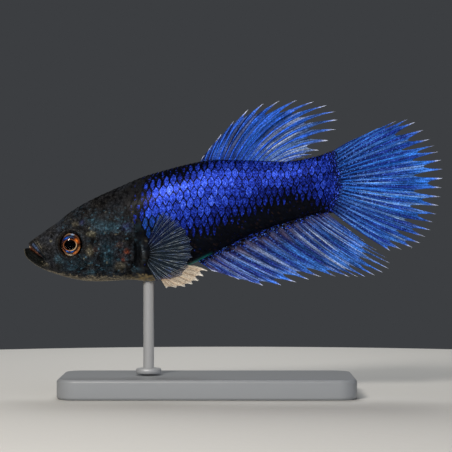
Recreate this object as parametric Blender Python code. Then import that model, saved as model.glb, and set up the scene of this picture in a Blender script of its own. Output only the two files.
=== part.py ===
"""A crowntail betta, modelled life size and swimming, held up by one rod on a flat display base.

Frame: X runs from the snout (-) to the tail (+), Y from the fish's left (-) to its right (+), and Z up
from the underside of the base. Every size below is in millimetres, and meshes are made in metres.

The body is one closed skin, drawn ring by ring from the lips to the tail root and then parted with thin
cuts into head, lower jaw, gill covers, trunk and tail stalk. Each fin is a fan of rays joined by a web,
and is trimmed where it meets the body.
"""

import bmesh
import bpy
import numpy as np

MM = 0.001
GAP = 0.25  # clearance between neighbouring solids

# Body stations from the lips to the tail root. Each row holds the back (x, z), the widest point of the
# flank (x, z), the belly (x, z) and the half width.
BODY_STATIONS = (
    (-30.66, 22.44, -28.05, 20.10, -31.23, 22.00, 1.45),  # inner rim of the lips
    (-30.81, 22.77, -27.81, 20.01, -31.50, 21.75, 1.75),  # crest of the lips
    (-30.00, 23.46, -27.22, 20.32, -30.83, 20.32, 2.30),  # snout and chin
    (-27.60, 25.13, -25.80, 21.15, -27.90, 18.56, 3.05),  # front of the eye
    (-22.80, 28.53, -22.20, 22.43, -22.20, 17.10, 3.75),  # behind the eye
    (-15.60, 31.98, -15.60, 23.70, -15.60, 17.18, 4.10),  # gill cover
    (-11.10, 33.56, -11.10, 24.83, -11.10, 17.28, 3.95),  # root of the pelvic fins
    (-4.20, 35.18, -4.20, 27.30, -4.20, 20.61, 3.40),  # front of the dorsal fin
    (2.40, 35.25, 2.40, 29.18, 2.40, 23.93, 2.80),  # middle of the dorsal fin
    (8.10, 35.10, 8.10, 30.45, 8.10, 25.95, 2.25),  # rear of the dorsal fin
    (12.60, 35.93, 12.60, 31.35, 12.60, 27.18, 1.65),  # tail stalk
    (14.85, 36.72, 15.00, 31.73, 14.85, 27.22, 1.00),  # root of the tail fin
    (15.45, 36.45, 16.35, 31.80, 15.45, 27.30, 0.40),  # end of the scaled body
)
RINGS_PER_STATION = 3
RING_POINTS = 26
FULLNESS = 0.9  # under 1 fills out the ellipse of each ring

HEAD_END_X = -14.55  # the cut behind the gill covers
TRUNK_END_X = 8.40  # the cut behind the dorsal fin

# The gape runs from the mouth's corner forwards and up, and the jaw is parted off below it.
MOUTH_CORNER = (-28.05, 20.10)
GAPE_SLOPE = -0.70  # rise in z for each millimetre towards the tail

GILL_CENTRE = (-17.60, 21.20)
GILL_RADII = (2.75, 3.55)
GILL_INNER_Y = 2.55  # how far from the midline the plate's flat back lies

EYE_CENTRE = (-24.55, 2.42, 22.49)
EYE_RADII = (1.75, 1.15, 1.75)
EYE_YAW = 11.0  # degrees that each eye looks forward, as the snout narrows

# Fins. base and tips are guide points (x, y, z), evenly spaced from the first ray to the last, and the
# rays between them follow a smooth line. On the fins of the midline each second ray ends on a guide
# point. bend bows each ray, as a share of its length. web is how far along the rays the skin reaches in
# the notches, from the first ray to the last, and jag makes these deeper and shallower by turns. wave is
# the sideways ripple of the margin.
DORSAL_FIN = {
    "rays": 17,
    "base": ((-5.4, 0.0, 34.2), (-1.6, 0.0, 34.2), (2.4, 0.0, 34.2), (6.2, 0.0, 34.1)),
    "tips": (
        (-4.7, 0.0, 35.7), (-1.9, 0.0, 39.2), (2.2, 0.0, 42.9), (6.9, 0.0, 44.2), (12.0, 0.0, 44.0),
        (15.2, 0.0, 42.5), (15.3, 0.0, 39.8), (12.8, 0.0, 36.7), (10.7, 0.0, 35.7),
    ),
    "bend": (0.02, 0.06, 0.10, 0.10, 0.05),
    "web": (0.95, 0.93, 0.87, 0.80, 0.73, 0.70, 0.67, 0.76, 0.82),
    "jag": 0.01,
    "wave": 0.55,
}
ANAL_FIN = {
    "rays": 19,
    "base": (
        (-6.2, 0.0, 20.6), (-2.8, 0.0, 22.3), (3.8, 0.0, 25.2), (8.3, 0.0, 26.9),
        (10.9, 0.0, 27.7), (13.0, 0.0, 28.2),
    ),
    "tips": (
        (-3.2, 0.0, 18.6), (4.4, 0.0, 16.4), (9.4, 0.0, 16.9), (13.1, 0.0, 17.7), (17.4, 0.0, 17.7),
        (19.8, 0.0, 17.7), (22.5, 0.0, 18.3), (23.6, 0.0, 19.7), (21.5, 0.0, 21.7), (17.5, 0.0, 24.6),
    ),
    "bend": (0.0, -0.03, -0.04, -0.03, -0.02),
    "web": (0.95, 0.87, 0.79, 0.80, 0.83, 0.80, 0.74, 0.68, 0.78, 0.90),
    "jag": 0.02,
    "wave": -0.6,
}
TAIL_FIN = {
    "rays": 23,
    "base": (
        (13.9, 0.0, 36.0), (14.7, 0.0, 34.2), (15.1, 0.0, 32.6), (15.2, 0.0, 31.2),
        (14.8, 0.0, 29.6), (14.0, 0.0, 28.0),
    ),
    "tips": (
        (18.4, 0.0, 38.6), (24.5, 0.0, 41.2), (27.3, 0.0, 41.0), (29.5, 0.0, 38.4), (30.7, 0.0, 36.5),
        (31.4, 0.0, 33.9), (31.1, 0.0, 31.1), (30.7, 0.0, 28.4), (29.9, 0.0, 25.9), (28.8, 0.0, 23.7),
        (26.8, 0.0, 22.1), (23.5, 0.0, 21.6),
    ),
    "bend": (0.02, 0.02, 0.0, -0.02, -0.02),
    "web": (0.88, 0.78, 0.77, 0.78, 0.79, 0.79, 0.84),
    "jag": 0.055,
    "wave": 0.8,
}
PECTORAL_FIN = {
    "rays": 11,
    "base": ((-13.0, 4.05, 22.9), (-12.7, 3.95, 21.9), (-12.8, 3.8, 20.9), (-13.2, 3.5, 19.9)),
    "tips": (
        (-10.60, 4.9, 27.50), (-8.10, 5.3, 26.10), (-6.35, 5.7, 23.40), (-6.10, 5.8, 20.80),
        (-7.70, 5.4, 18.00), (-11.50, 4.4, 17.20),
    ),
    "bend": (0.03, 0.02, 0.0, -0.02, -0.03),
    "web": (0.94, 0.94),
    "jag": 0.01,
    "wave": 0.2,
}
PELVIC_FIN = {
    "rays": 7,
    "base": ((-11.3, 0.9, 17.9), (-10.9, 1.0, 18.2), (-10.4, 1.0, 18.6)),
    "tips": ((-10.1, 1.5, 16.05), (-7.3, 1.8, 16.25), (-5.3, 1.9, 17.15), (-3.9, 1.8, 18.30)),
    "bend": (0.0, -0.02, -0.04),
    "web": (0.86, 0.86),
    "jag": 0.02,
    "wave": 0.1,
}
RAY_HALF_WIDTH = 0.10  # of a ray's tip, as a share of the space between rays
WEB_COLUMNS = (0.0, 0.5)  # points across the web for each ray, on the ray and midway to the next
EDGE_COLUMNS = (-0.3, -RAY_HALF_WIDTH, RAY_HALF_WIDTH, 0.3, 0.5)  # and along the fringed edge
WEB_ROWS = (0.0, 0.45, 0.75)
SPIKE_TAPER = 1.6
FIN_HALF_THICKNESS = 0.26
FIN_ROOT_SWELL = 0.2

BASE_SIZE = (44.0, 20.0, 3.0)
BASE_X = -4.0
BASE_CORNER = 3.0
BASE_EDGE = 0.5
ROD_X = -12.8
ROD_RADIUS = 0.8
ROD_TOP = 19.4  # in a socket in the belly
ROD_FOOT = (1.9, 0.8)  # radius and height of the collar on the base

COLOURS = {
    "skin": ((0.020, 0.024, 0.030), 0.45, 0.0),
    "blue_flank": ((0.010, 0.030, 0.400), 0.35, 0.2),
    "blue_fin": ((0.020, 0.080, 0.550), 0.40, 0.1),
    "clear_fin": ((0.090, 0.110, 0.130), 0.40, 0.0),
    "pale_fin": ((0.720, 0.560, 0.380), 0.50, 0.0),
    "eye": ((0.010, 0.008, 0.008), 0.05, 0.0),
    "base": ((0.620, 0.620, 0.600), 0.50, 0.0),
    "steel": ((0.600, 0.600, 0.600), 0.30, 1.0),
}


def clear_scene():
    for obj in list(bpy.data.objects):
        bpy.data.objects.remove(obj, do_unlink=True)


def material(name):
    """The named finish, made once."""
    if name in bpy.data.materials:
        return bpy.data.materials[name]
    colour, roughness, metallic = COLOURS[name]
    made = bpy.data.materials.new(name)
    made.use_nodes = True
    shader = made.node_tree.nodes["Principled BSDF"]
    shader.inputs["Base Color"].default_value = (*colour, 1.0)
    shader.inputs["Roughness"].default_value = roughness
    shader.inputs["Metallic"].default_value = metallic
    made.diffuse_color = (*colour, 1.0)
    return made


def add_object(name, points, faces, finish=None):
    """A closed mesh from points in millimetres, its faces turned outwards. With no finish it is a cutter."""
    mesh = bpy.data.meshes.new(name)
    mesh.from_pydata((np.asarray(points, float) * MM).tolist(), [], faces)
    shell = bmesh.new()
    shell.from_mesh(mesh)
    bmesh.ops.recalc_face_normals(shell, faces=shell.faces)
    shell.to_mesh(mesh)
    shell.free()
    obj = bpy.data.objects.new(name, mesh)
    bpy.context.scene.collection.objects.link(obj)
    if finish:
        mesh.materials.append(material(finish))
        mesh.shade_smooth()
        mesh.set_sharp_from_angle(angle=np.radians(50))
    else:
        obj.hide_render = True
        obj.display_type = "WIRE"
    return obj


def combine(obj, other, operation):
    """Adds a live Boolean of obj with the cutter other."""
    boolean = obj.modifiers.new(f"{operation}_{other.name}", "BOOLEAN")
    boolean.operation = operation
    boolean.object = other
    boolean.solver = "EXACT"
    return obj


def smooth_line(rows, at):
    """Catmull-Rom line through evenly spaced rows, for places 0 to 1; it runs on straight past its ends."""
    rows = np.asarray(rows, float)
    padded = np.vstack([2 * rows[0] - rows[1], rows, 2 * rows[-1] - rows[-2]])
    place = np.asarray(at, float) * (len(rows) - 1)
    k = np.clip(np.floor(place).astype(int), 0, len(rows) - 2)
    past = (place - k)[..., None]
    f = np.clip(past, 0, 1)
    a, b, c, d = padded[k], padded[k + 1], padded[k + 2], padded[k + 3]
    bow = (2 * a - 5 * b + 4 * c - d) * f**2 + (3 * b - a - 3 * c + d) * f**3
    return b + 0.5 * ((c - a) * f + bow) + (past - f) * (c - b)


def body_grid():
    """Rings of the body, as (ring, point, xyz): half ellipses from the back and from the belly, which meet
    at the widest point of the flank. Point 0 is on the back and the middle point on the belly."""
    rings = RINGS_PER_STATION * (len(BODY_STATIONS) - 1) + 1
    guide = smooth_line(BODY_STATIONS, np.linspace(0, 1, rings))[:, None, :]
    turn = np.linspace(0, 2 * np.pi, RING_POINTS, endpoint=False)[None, :, None]
    rise = np.abs(np.cos(turn)) ** FULLNESS
    edge = np.where(np.cos(turn) >= 0, guide[..., 0:2], guide[..., 4:6])
    side_view = guide[..., 2:4] + (edge - guide[..., 2:4]) * rise
    across = -guide[..., 6:7] * np.sign(np.sin(turn)) * np.abs(np.sin(turn)) ** FULLNESS
    return np.concatenate([side_view[..., :1], across, side_view[..., 1:]], axis=2)


def tube_faces(rings, count):
    """Faces between the rings, and at each end a strip that joins a ring's left side to its right."""
    faces = []
    for r in range(rings - 1):
        for j in range(count):
            k = (j + 1) % count
            faces.append((r * count + j, (r + 1) * count + j, (r + 1) * count + k, r * count + k))
    for start in (0, (rings - 1) * count):
        for j in range(count // 2):
            corners = (start + j, start + j + 1, start + (count - j - 1), start + (count - j) % count)
            faces.append(tuple(dict.fromkeys(corners)))
    return faces


def body(name, finish=None, grown=0.0):
    """The whole body, grown along its normals by a clearance where it is to cut a neighbour."""
    grid = body_grid()
    rings, count, _ = grid.shape
    obj = add_object(name, grid.reshape(-1, 3), tube_faces(rings, count), finish)
    if grown:
        mesh = obj.data
        normals = [v.normal.copy() for v in mesh.vertices]
        for vertex, normal in zip(mesh.vertices, normals):
            vertex.co += normal * grown * MM
    return obj


def drawn_out(outline):
    """Faces that join two copies of an outline, the near one listed first, and close its ends."""
    count = len(outline)
    sides = [(j, (j + 1) % count, count + (j + 1) % count, count + j) for j in range(count)]
    return sides + [tuple(range(count)), tuple(range(count, 2 * count))]


def prism(name, outline, low_y, high_y):
    """A cutter: an outline of (x, z) points, drawn out along Y."""
    points = [(x, y, z) for y in (low_y, high_y) for x, z in outline]
    return add_object(name, points, drawn_out(outline))


def section(name, low_x, high_x):
    """A cutter as large as the fish across, between two places along it."""
    return prism(name, ((low_x, 0), (high_x, 0), (high_x, 60), (low_x, 60)), -30, 30)


def ellipse(centre, radii, count):
    turn = np.linspace(0, 2 * np.pi, count, endpoint=False)
    return [(centre[0] + radii[0] * np.cos(a), centre[1] + radii[1] * np.sin(a)) for a in turn]


def jaw_wedge(name, clearance):
    """What lies below the gape and ahead of the mouth's corner."""
    corner_x, corner_z = MOUTH_CORNER
    corner_x += clearance
    reach = 6.0
    lift = clearance * np.hypot(1, GAPE_SLOPE)
    front = (corner_x - reach, corner_z + lift - GAPE_SLOPE * reach)
    return prism(
        name, ((front[0], 10), (corner_x, 10), (corner_x, corner_z + lift), front), -10, 10
    )


def gill_prism(name, side, clearance):
    radii = (GILL_RADII[0] + clearance, GILL_RADII[1] + clearance)
    inner, outer = GILL_INNER_Y - clearance, 10.0
    low, high = sorted((side * inner, side * outer))
    return prism(name, ellipse(GILL_CENTRE, radii, 24), low, high)


def eyeball(name, side, clearance=0.0, finish=None, around=16, up=9):
    """A closed egg whose poles point sideways and, by the yaw, a little forward on the outer side."""
    radii = np.array(EYE_RADII) + clearance
    points = [(0, -radii[1], 0)]
    for tilt in np.pi * np.arange(1, up) / up:
        ring_radii = (radii[0] * np.sin(tilt), radii[2] * np.sin(tilt))
        y = -radii[1] * np.cos(tilt)
        points += [(x, y, z) for x, z in ellipse((0, 0), ring_radii, around)]
    points.append((0, radii[1], 0))
    yaw = side * np.radians(EYE_YAW)
    turned = np.array(((np.cos(yaw), np.sin(yaw), 0), (-np.sin(yaw), np.cos(yaw), 0), (0, 0, 1)))
    points = points @ turned + np.multiply(EYE_CENTRE, (1, side, 1))
    last = len(points) - 1
    faces = []
    for j in range(around):
        k = (j + 1) % around
        faces.append((0, 1 + j, 1 + k))
        faces.append((last, last - around + k, last - around + j))
        for i in range(up - 2):
            a = 1 + i * around
            faces.append((a + j, a + around + j, a + around + k, a + k))
    return add_object(name, points, faces, finish)


def lathe(name, profile, axis_x, finish=None, around=20):
    """A closed turned piece about a vertical axis; the profile of (radius, z) runs from bottom to top."""
    points = []
    for radius, z in profile:
        points += [(x, y, z) for x, y in ellipse((axis_x, 0), (radius, radius), around)]
    faces = []
    for i in range(len(profile) - 1):
        for j in range(around):
            k = (j + 1) % around
            a, b = i * around, (i + 1) * around
            faces.append((a + j, a + k, b + k, b + j))
    faces.append(tuple(range(around)))
    faces.append(tuple(range(len(points) - around, len(points))))
    return add_object(name, points, faces, finish)


def fin_columns(rays, shifts):
    """Places across the fan, counted in rays from the first to the last."""
    return np.array([ray + shift for ray in range(rays) for shift in shifts if 0 <= ray + shift <= rays - 1])


def margin(fin, places):
    """How far along the rays the fin reaches: 1 at a ray's tip and down to the web in the notch, which is
    deep and shallow by turns. The spikes widen slowly from their tips and then quickly into the web."""
    off = np.abs(places - np.round(places))
    web = smooth_line(np.array(fin["web"])[:, None], places / (fin["rays"] - 1))[:, 0]
    web += fin["jag"] * np.where(np.floor(places) % 2 == 0, -1, 1)
    fall = np.clip((off - RAY_HALF_WIDTH) / (0.5 - RAY_HALF_WIDTH), 0, 1) ** (1 / SPIKE_TAPER)
    return 1 - (1 - web) * fall


def fin_row(fin, places, height):
    """One line of points across the fin, at this share of the way out from its base to its edge: each ray
    is a bowed line from its base to its tip, and the sheet ripples sideways towards the edge."""
    share = places / (fin["rays"] - 1)
    base = smooth_line(fin["base"], share)
    along = smooth_line(fin["tips"], share) - base
    bend = smooth_line(np.array(fin["bend"])[:, None], share)
    bow = np.stack([-along[:, 2], np.zeros(len(along)), along[:, 0]], axis=1) * bend
    t = (height * margin(fin, places))[:, None]
    row = base + along * t + bow * 4 * t * (1 - t)
    row[:, 1] += fin["wave"] * np.sin(2.1 * np.pi * share + 0.6) * t[:, 0] ** 1.5
    return row


def zip_rows(low, high):
    """Triangles between two lines of points, given as pairs of (place, index), in order of place."""
    faces, i, j = [], 0, 0
    while i < len(low) - 1 or j < len(high) - 1:
        step_low = j == len(high) - 1 or (i < len(low) - 1 and low[i + 1][0] <= high[j + 1][0])
        if step_low:
            faces.append((low[i][1], low[i + 1][1], high[j][1]))
            i += 1
        else:
            faces.append((low[i][1], high[j + 1][1], high[j][1]))
            j += 1
    return faces


def fin_solid(name, fin, side, finish):
    """A fin with its thickness: two sheets and a rim, mirrored for the left side."""
    web_places = fin_columns(fin["rays"], WEB_COLUMNS)
    edge_places = fin_columns(fin["rays"], EDGE_COLUMNS)
    rows = [(web_places, height) for height in WEB_ROWS] + [(edge_places, 1.0)]
    points, ids, halves = [], [], []
    for places, height in rows:
        ids.append(list(zip(places, range(len(points), len(points) + len(places)))))
        points += fin_row(fin, places, height).tolist()
        halves += [FIN_HALF_THICKNESS + FIN_ROOT_SWELL * (1 - height) ** 2] * len(places)
    sheet = np.array(points)
    outward = np.array(halves)[:, None] * (0, 1, 0)
    count = len(sheet)
    one_side = [face for low, high in zip(ids, ids[1:]) for face in zip_rows(low, high)]
    faces = one_side + [tuple(count + v for v in face[::-1]) for face in one_side]
    rim = (
        [v for _, v in ids[0]]
        + [row[-1][1] for row in ids[1:]]
        + [v for _, v in ids[-1][-2::-1]]
        + [row[0][1] for row in ids[-2:0:-1]]
    )
    faces += [(a, count + a, count + b, b) for a, b in zip(rim, rim[1:] + rim[:1])]
    both = np.concatenate([sheet - outward, sheet + outward]) * (1, side, 1)
    return add_object(name, both, faces, finish)


def make_body():
    """Parts the body into its nodes."""
    sections = {
        "head": section("cut_head", -40, HEAD_END_X - GAP / 2),
        "trunk": section("cut_trunk", HEAD_END_X + GAP / 2, TRUNK_END_X - GAP / 2),
        "tail_stalk": section("cut_stalk", TRUNK_END_X + GAP / 2, 40),
    }
    head = combine(body("head", "skin"), sections["head"], "INTERSECT")
    combine(head, jaw_wedge("cut_gape", GAP), "DIFFERENCE")
    combine(body("lower_jaw", "skin"), jaw_wedge("cut_jaw", 0.0), "INTERSECT")
    for side, word in ((-1, "left"), (1, "right")):
        combine(head, gill_prism(f"cut_gill_{word}", side, GAP), "DIFFERENCE")
        cover = combine(body(f"gill_cover_{word}", "skin"), sections["head"], "INTERSECT")
        combine(cover, gill_prism(f"cut_cover_{word}", side, 0.0), "INTERSECT")
        eyeball(f"eye_{word}", side, finish="eye")
        combine(head, eyeball(f"cut_socket_{word}", side, GAP), "DIFFERENCE")
    trunk = combine(body("trunk", "blue_flank"), sections["trunk"], "INTERSECT")
    hole = ROD_RADIUS + GAP
    combine(trunk, lathe("cut_rod", ((hole, 10), (hole, ROD_TOP + GAP)), ROD_X), "DIFFERENCE")
    combine(body("tail_stalk", "blue_flank"), sections["tail_stalk"], "INTERSECT")


def make_fins():
    """Each fin starts inside the body and is trimmed to stand clear of it."""
    around_body = body("cut_fins", grown=GAP)
    fins = [
        fin_solid("dorsal_fin", DORSAL_FIN, 1, "blue_fin"),
        fin_solid("anal_fin", ANAL_FIN, 1, "blue_fin"),
        fin_solid("tail_fin", TAIL_FIN, 1, "blue_fin"),
    ]
    for side, word in ((-1, "left"), (1, "right")):
        fins.append(fin_solid(f"pectoral_fin_{word}", PECTORAL_FIN, side, "clear_fin"))
        fins.append(fin_solid(f"pelvic_fin_{word}", PELVIC_FIN, side, "pale_fin"))
    for fin in fins:
        combine(fin, around_body, "DIFFERENCE")


def make_stand():
    """A flat base with rounded corners, and a rod with a collar at its foot."""
    length, width, height = BASE_SIZE
    outline = []
    for quarter, (sx, sy) in enumerate(((1, 1), (-1, 1), (-1, -1), (1, -1))):
        for step in range(7):
            a = np.pi / 2 * (quarter + step / 6)
            outline.append(
                (
                    BASE_X + sx * (length / 2 - BASE_CORNER) + BASE_CORNER * np.cos(a),
                    sy * (width / 2 - BASE_CORNER) + BASE_CORNER * np.sin(a),
                )
            )
    points = [(x, y, z) for z in (0, height) for x, y in outline]
    base = add_object("stand_base", points, drawn_out(outline), "base")
    edge = base.modifiers.new("edge", "BEVEL")
    edge.width = BASE_EDGE * MM
    edge.segments = 2
    edge.limit_method = "ANGLE"
    foot_radius, foot_height = ROD_FOOT
    foot = height + GAP
    profile = (
        (foot_radius, foot),
        (foot_radius, foot + foot_height * 0.6),
        (ROD_RADIUS, foot + foot_height),
        (ROD_RADIUS, ROD_TOP),
    )
    lathe("stand_rod", profile, ROD_X, "steel")


def main():
    clear_scene()
    make_body()
    make_fins()
    make_stand()


main()
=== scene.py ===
"""The looks of a life-size crowntail betta on a plain display stand. Sizes are in millimetres."""

from functools import partial

import bpy
import numpy as np
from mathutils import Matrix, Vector


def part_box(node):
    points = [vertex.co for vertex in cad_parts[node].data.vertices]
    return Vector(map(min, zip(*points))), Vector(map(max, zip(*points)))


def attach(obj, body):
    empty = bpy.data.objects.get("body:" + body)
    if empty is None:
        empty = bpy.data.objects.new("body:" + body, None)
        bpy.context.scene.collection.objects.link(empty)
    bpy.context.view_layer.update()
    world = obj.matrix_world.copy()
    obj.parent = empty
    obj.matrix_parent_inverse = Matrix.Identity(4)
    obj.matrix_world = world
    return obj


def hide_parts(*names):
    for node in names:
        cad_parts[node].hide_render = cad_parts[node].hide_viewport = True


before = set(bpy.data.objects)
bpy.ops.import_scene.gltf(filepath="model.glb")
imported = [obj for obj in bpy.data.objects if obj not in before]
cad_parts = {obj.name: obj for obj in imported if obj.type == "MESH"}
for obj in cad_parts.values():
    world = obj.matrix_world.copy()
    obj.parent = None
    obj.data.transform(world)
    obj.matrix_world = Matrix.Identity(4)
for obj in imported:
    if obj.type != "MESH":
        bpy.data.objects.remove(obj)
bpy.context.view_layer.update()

# ------------------------------
# Display stand: a flat block of cast acrylic, sawn, bevelled and vapour-satined, and one drawn steel
# wire that is pushed into it and runs up into the belly. A turned collar hides the hole.
# ------------------------------

MM = 0.001
SIDES = (-1, "left"), (1, "right")
ACRYLIC_GREY = "#8c8f92"
STEEL_GREY = "#b9bbbd"


def linear(hex_colour):
    """sRGB hex to linear colour: a straight foot below 0.04045 and a 2.4 power above it."""
    part = np.array([int(hex_colour[i : i + 2], 16) for i in (1, 3, 5)]) / 255
    return np.where(part <= 0.04045, part / 12.92, ((part + 0.055) / 1.055) ** 2.4)


def rgba(hex_colour):
    """The linear colour with full opacity, as a colour input takes it."""
    return (*linear(hex_colour), 1.0)


def feed(socket, value):
    """Links another node's output to an input, or sets the input's value."""
    if isinstance(value, bpy.types.NodeSocket):
        socket.id_data.links.new(value, socket)
    else:
        socket.default_value = value


def add_node(tree, kind, *inputs, out=0, **settings):
    """Adds a node and gives its output of this number or name. The kind may go on with the node's operation
    or data type. Inputs are outputs or values for the sockets that it shows, in their order. A setting is a
    property of it or, failing that, an input by name."""
    kind, _, mode = kind.partition(" ")
    made = tree.nodes.new("ShaderNode" + kind)
    if mode:
        setattr(made, "operation" if hasattr(made, "operation") else "data_type", mode)
    for key in [key for key in settings if hasattr(made, key)]:
        setattr(made, key, settings.pop(key))
    for socket, value in zip([socket for socket in made.inputs if socket.enabled], inputs):
        feed(socket, value)
    for key, value in settings.items():
        feed(made.inputs[key], value)
    shown = made.outputs if isinstance(out, str) else [socket for socket in made.outputs if socket.enabled]
    return shown[out]


def new_finish(name, looks):
    """A material with these inputs of its Principled shader set, the function that adds a node to it, and
    that shader's inputs."""
    made = bpy.data.materials.new(name)
    made.use_nodes = True
    shader = made.node_tree.nodes["Principled BSDF"].inputs
    for key, value in looks.items():
        shader[key].default_value = value
    return made, partial(add_node, made.node_tree), shader


def bump_from(node, shader, height, depth_mm):
    """Feeds a height of 0 to 1 to the shader as bumps this deep."""
    feed(shader["Normal"], node("Bump", Strength=1.0, Distance=depth_mm * MM, Height=height))


def grid_quads(rows, columns, around=False):
    """Quads of a grid of points listed row by row; around also joins the last column to the first."""
    row = np.arange(rows - 1)[:, None] * columns
    column = np.arange(columns if around else columns - 1)[None, :]
    after = (column + 1) % columns
    corners = (row + column, row + after, row + columns + after, row + columns + column)
    return np.stack(corners, axis=-1).reshape(-1, 4)


def grid_rim(rows, columns):
    """The points round the edge of such a grid, in order."""
    ids = np.arange(rows * columns).reshape(rows, columns)
    return np.concatenate([ids[0, :], ids[1:, -1], ids[-1, -2::-1], ids[-2:0:-1, 0]])


def close_rings(rings, pointed=True):
    """Points and faces of a closed shape through rings of points: each end is drawn to a point in its
    middle, or is one flat face."""
    rows, around, _ = rings.shape
    points = rings.reshape(-1, 3)
    first = np.arange(around)
    last = first + (rows - 1) * around
    ends = [first[None, ::-1], last[None, :]]
    if pointed:
        points = np.vstack([points, rings[0].mean(axis=0), rings[-1].mean(axis=0)])
        poles = np.full((2, around), [[rows * around], [rows * around + 1]])
        ends = [
            np.stack([poles[0], np.roll(first, -1), first], axis=1),
            np.stack([poles[1], last, np.roll(last, -1)], axis=1),
        ]
    return points, [grid_quads(rows, around, True), *ends]


def make_piece(name, points, faces, finish, slot, maps=None, tint=None, masks=None):
    """A smooth closed mesh. points are (n, 3) in mm, faces is a list of index arrays, maps holds UVs for
    each point, tint a linear colour for each point and masks further numbers. It is turned outwards."""
    corners = np.concatenate([face.ravel() for face in faces])
    sizes = np.concatenate([np.full(len(face), face.shape[1]) for face in faces])
    volume = 0.0
    for face in faces:
        for k in range(1, face.shape[1] - 1):
            a, b, c = points[face[:, 0]], points[face[:, k]], points[face[:, k + 1]]
            volume += np.einsum("ij,ij->", a, np.cross(b, c))
    if volume < 0:
        corners = np.concatenate([face[:, ::-1].ravel() for face in faces])
    mesh = bpy.data.meshes.new(name)
    mesh.vertices.add(len(points))
    mesh.vertices.foreach_set("co", (points * MM).astype(np.float32).ravel())
    mesh.loops.add(len(corners))
    mesh.loops.foreach_set("vertex_index", corners.astype(np.int32))
    mesh.polygons.add(len(sizes))
    mesh.polygons.foreach_set("loop_start", (np.cumsum(sizes) - sizes).astype(np.int32))
    mesh.update(calc_edges=True)
    mesh.shade_smooth()
    for map_name, uv in (maps or {}).items():
        layer = mesh.uv_layers.new(name=map_name)
        layer.data.foreach_set("uv", uv[corners].astype(np.float32).ravel())
    if tint is not None:
        layer = mesh.color_attributes.new("tint", "FLOAT_COLOR", "POINT")
        with_alpha = np.concatenate([np.clip(tint, 0, 1), np.ones((len(tint), 1))], axis=1)
        layer.data.foreach_set("color", with_alpha.astype(np.float32).ravel())
    for mask_name, mask in (masks or {}).items():
        layer = mesh.attributes.new(mask_name, "FLOAT", "POINT")
        layer.data.foreach_set("value", mask.astype(np.float32))
    mesh.materials.append(finish)
    piece = bpy.data.objects.new(name, mesh)
    bpy.context.scene.collection.objects.link(piece)
    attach(piece, "root")
    return piece


def satin_acrylic():
    """Cast acrylic: IOR 1.49; the vapour-satined skin is even, with a faint orange peel of 0.4 mm."""
    looks = {"Base Color": rgba(ACRYLIC_GREY), "Roughness": 0.42, "IOR": 1.49}
    finish, node, shader = new_finish("satin cast acrylic", looks)
    bump_from(node, shader, node("TexNoise", node("TexCoord", out="Object"), 1 / (0.4 * MM)), 0.004)
    return finish


def drawn_steel():
    """Stainless wire, bead-blasted to a pale satin, with fine draw lines along its length, 0.05 mm apart."""
    looks = {"Base Color": rgba(STEEL_GREY), "Metallic": 0.4, "Roughness": 0.5}
    finish, node, shader = new_finish("satin stainless wire", looks)
    stretch = node("Mapping", node("TexCoord", out="Object"), Scale=(1.0, 1.0, 0.03))
    bump_from(node, shader, node("TexNoise", stretch, 1 / (0.05 * MM)), 0.003)
    return finish


def turned(name, profile, centre_x, finish, slot, around=64):
    """A turned piece: each (radius, height) of the profile is a ring about a vertical axis."""
    angle = np.linspace(0, 2 * np.pi, around, endpoint=False)
    rings = [
        np.stack([centre_x + r * np.cos(angle), r * np.sin(angle), np.full(around, z)], axis=1)
        for r, z in profile
    ]
    return make_piece(name, *close_rings(np.array(rings), False), finish, slot)


def rounded_block(name, low, high, corner, edge, finish, slot):
    """A block with rounded upright corners: its outline is drawn in and up by a quarter circle at the
    lower and upper edges."""
    turn = np.linspace(0, np.pi / 2, 12)
    (centre_x, centre_y, _), (half_x, half_y, _) = (low + high) / 2, (high - low) / 2
    arc = np.linspace(0, 2 * np.pi, 96, endpoint=False)
    side_x, side_y = np.sign(np.cos(arc + 1e-6)), np.sign(np.sin(arc + 1e-6))
    lower = [(edge * (1 - np.sin(a)), low[2] + edge * (1 - np.cos(a))) for a in turn]
    upper = [(edge * (1 - np.cos(a)), high[2] - edge * (1 - np.sin(a))) for a in turn]
    rings = []
    for inward, z in lower + upper:
        x = centre_x + side_x * (half_x - corner) + (corner - inward) * np.cos(arc)
        y = centre_y + side_y * (half_y - corner) + (corner - inward) * np.sin(arc)
        rings.append(np.stack([x, y, np.full(len(arc), z)], axis=1))
    return make_piece(name, *close_rings(np.array(rings), False), finish, slot)


BASE_CORNER, BASE_EDGE = 3.0, 0.5
ROD_RADIUS = COLLAR_HEIGHT = 0.8
COLLAR_EDGE = 0.3
base_box = (np.array(corner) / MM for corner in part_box("stand_base"))
stand_base = rounded_block("display_base", *base_box, BASE_CORNER, BASE_EDGE, satin_acrylic(), "stand_base")
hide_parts("stand_base")

rod_low, rod_high = (np.array(corner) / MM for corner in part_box("stand_rod"))
rod_x = (rod_low[0] + rod_high[0]) / 2
collar_radius = (rod_high[0] - rod_low[0]) / 2
collar_top = rod_low[2] + COLLAR_HEIGHT
edge_middle = np.array((collar_radius, collar_top)) - COLLAR_EDGE
collar_round = np.linspace(0, np.pi / 2, 8)
rod_profile = [(collar_radius, rod_low[2])]
rod_profile += [edge_middle + COLLAR_EDGE * np.array((np.cos(a), np.sin(a))) for a in collar_round]
rod_profile += [(ROD_RADIUS, collar_top), (ROD_RADIUS, rod_high[2])]
stand_rod = turned("display_rod", rod_profile, rod_x, drawn_steel(), "stand_rod")
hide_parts("stand_rod")

# ------------------------------
# Skin: the whole hide from the lining of the mouth to the root of the tail, in one piece. It is thin
# wet skin over firm flesh, charcoal on the head and nearly black under the blue scales of the flank.
# ------------------------------

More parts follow.
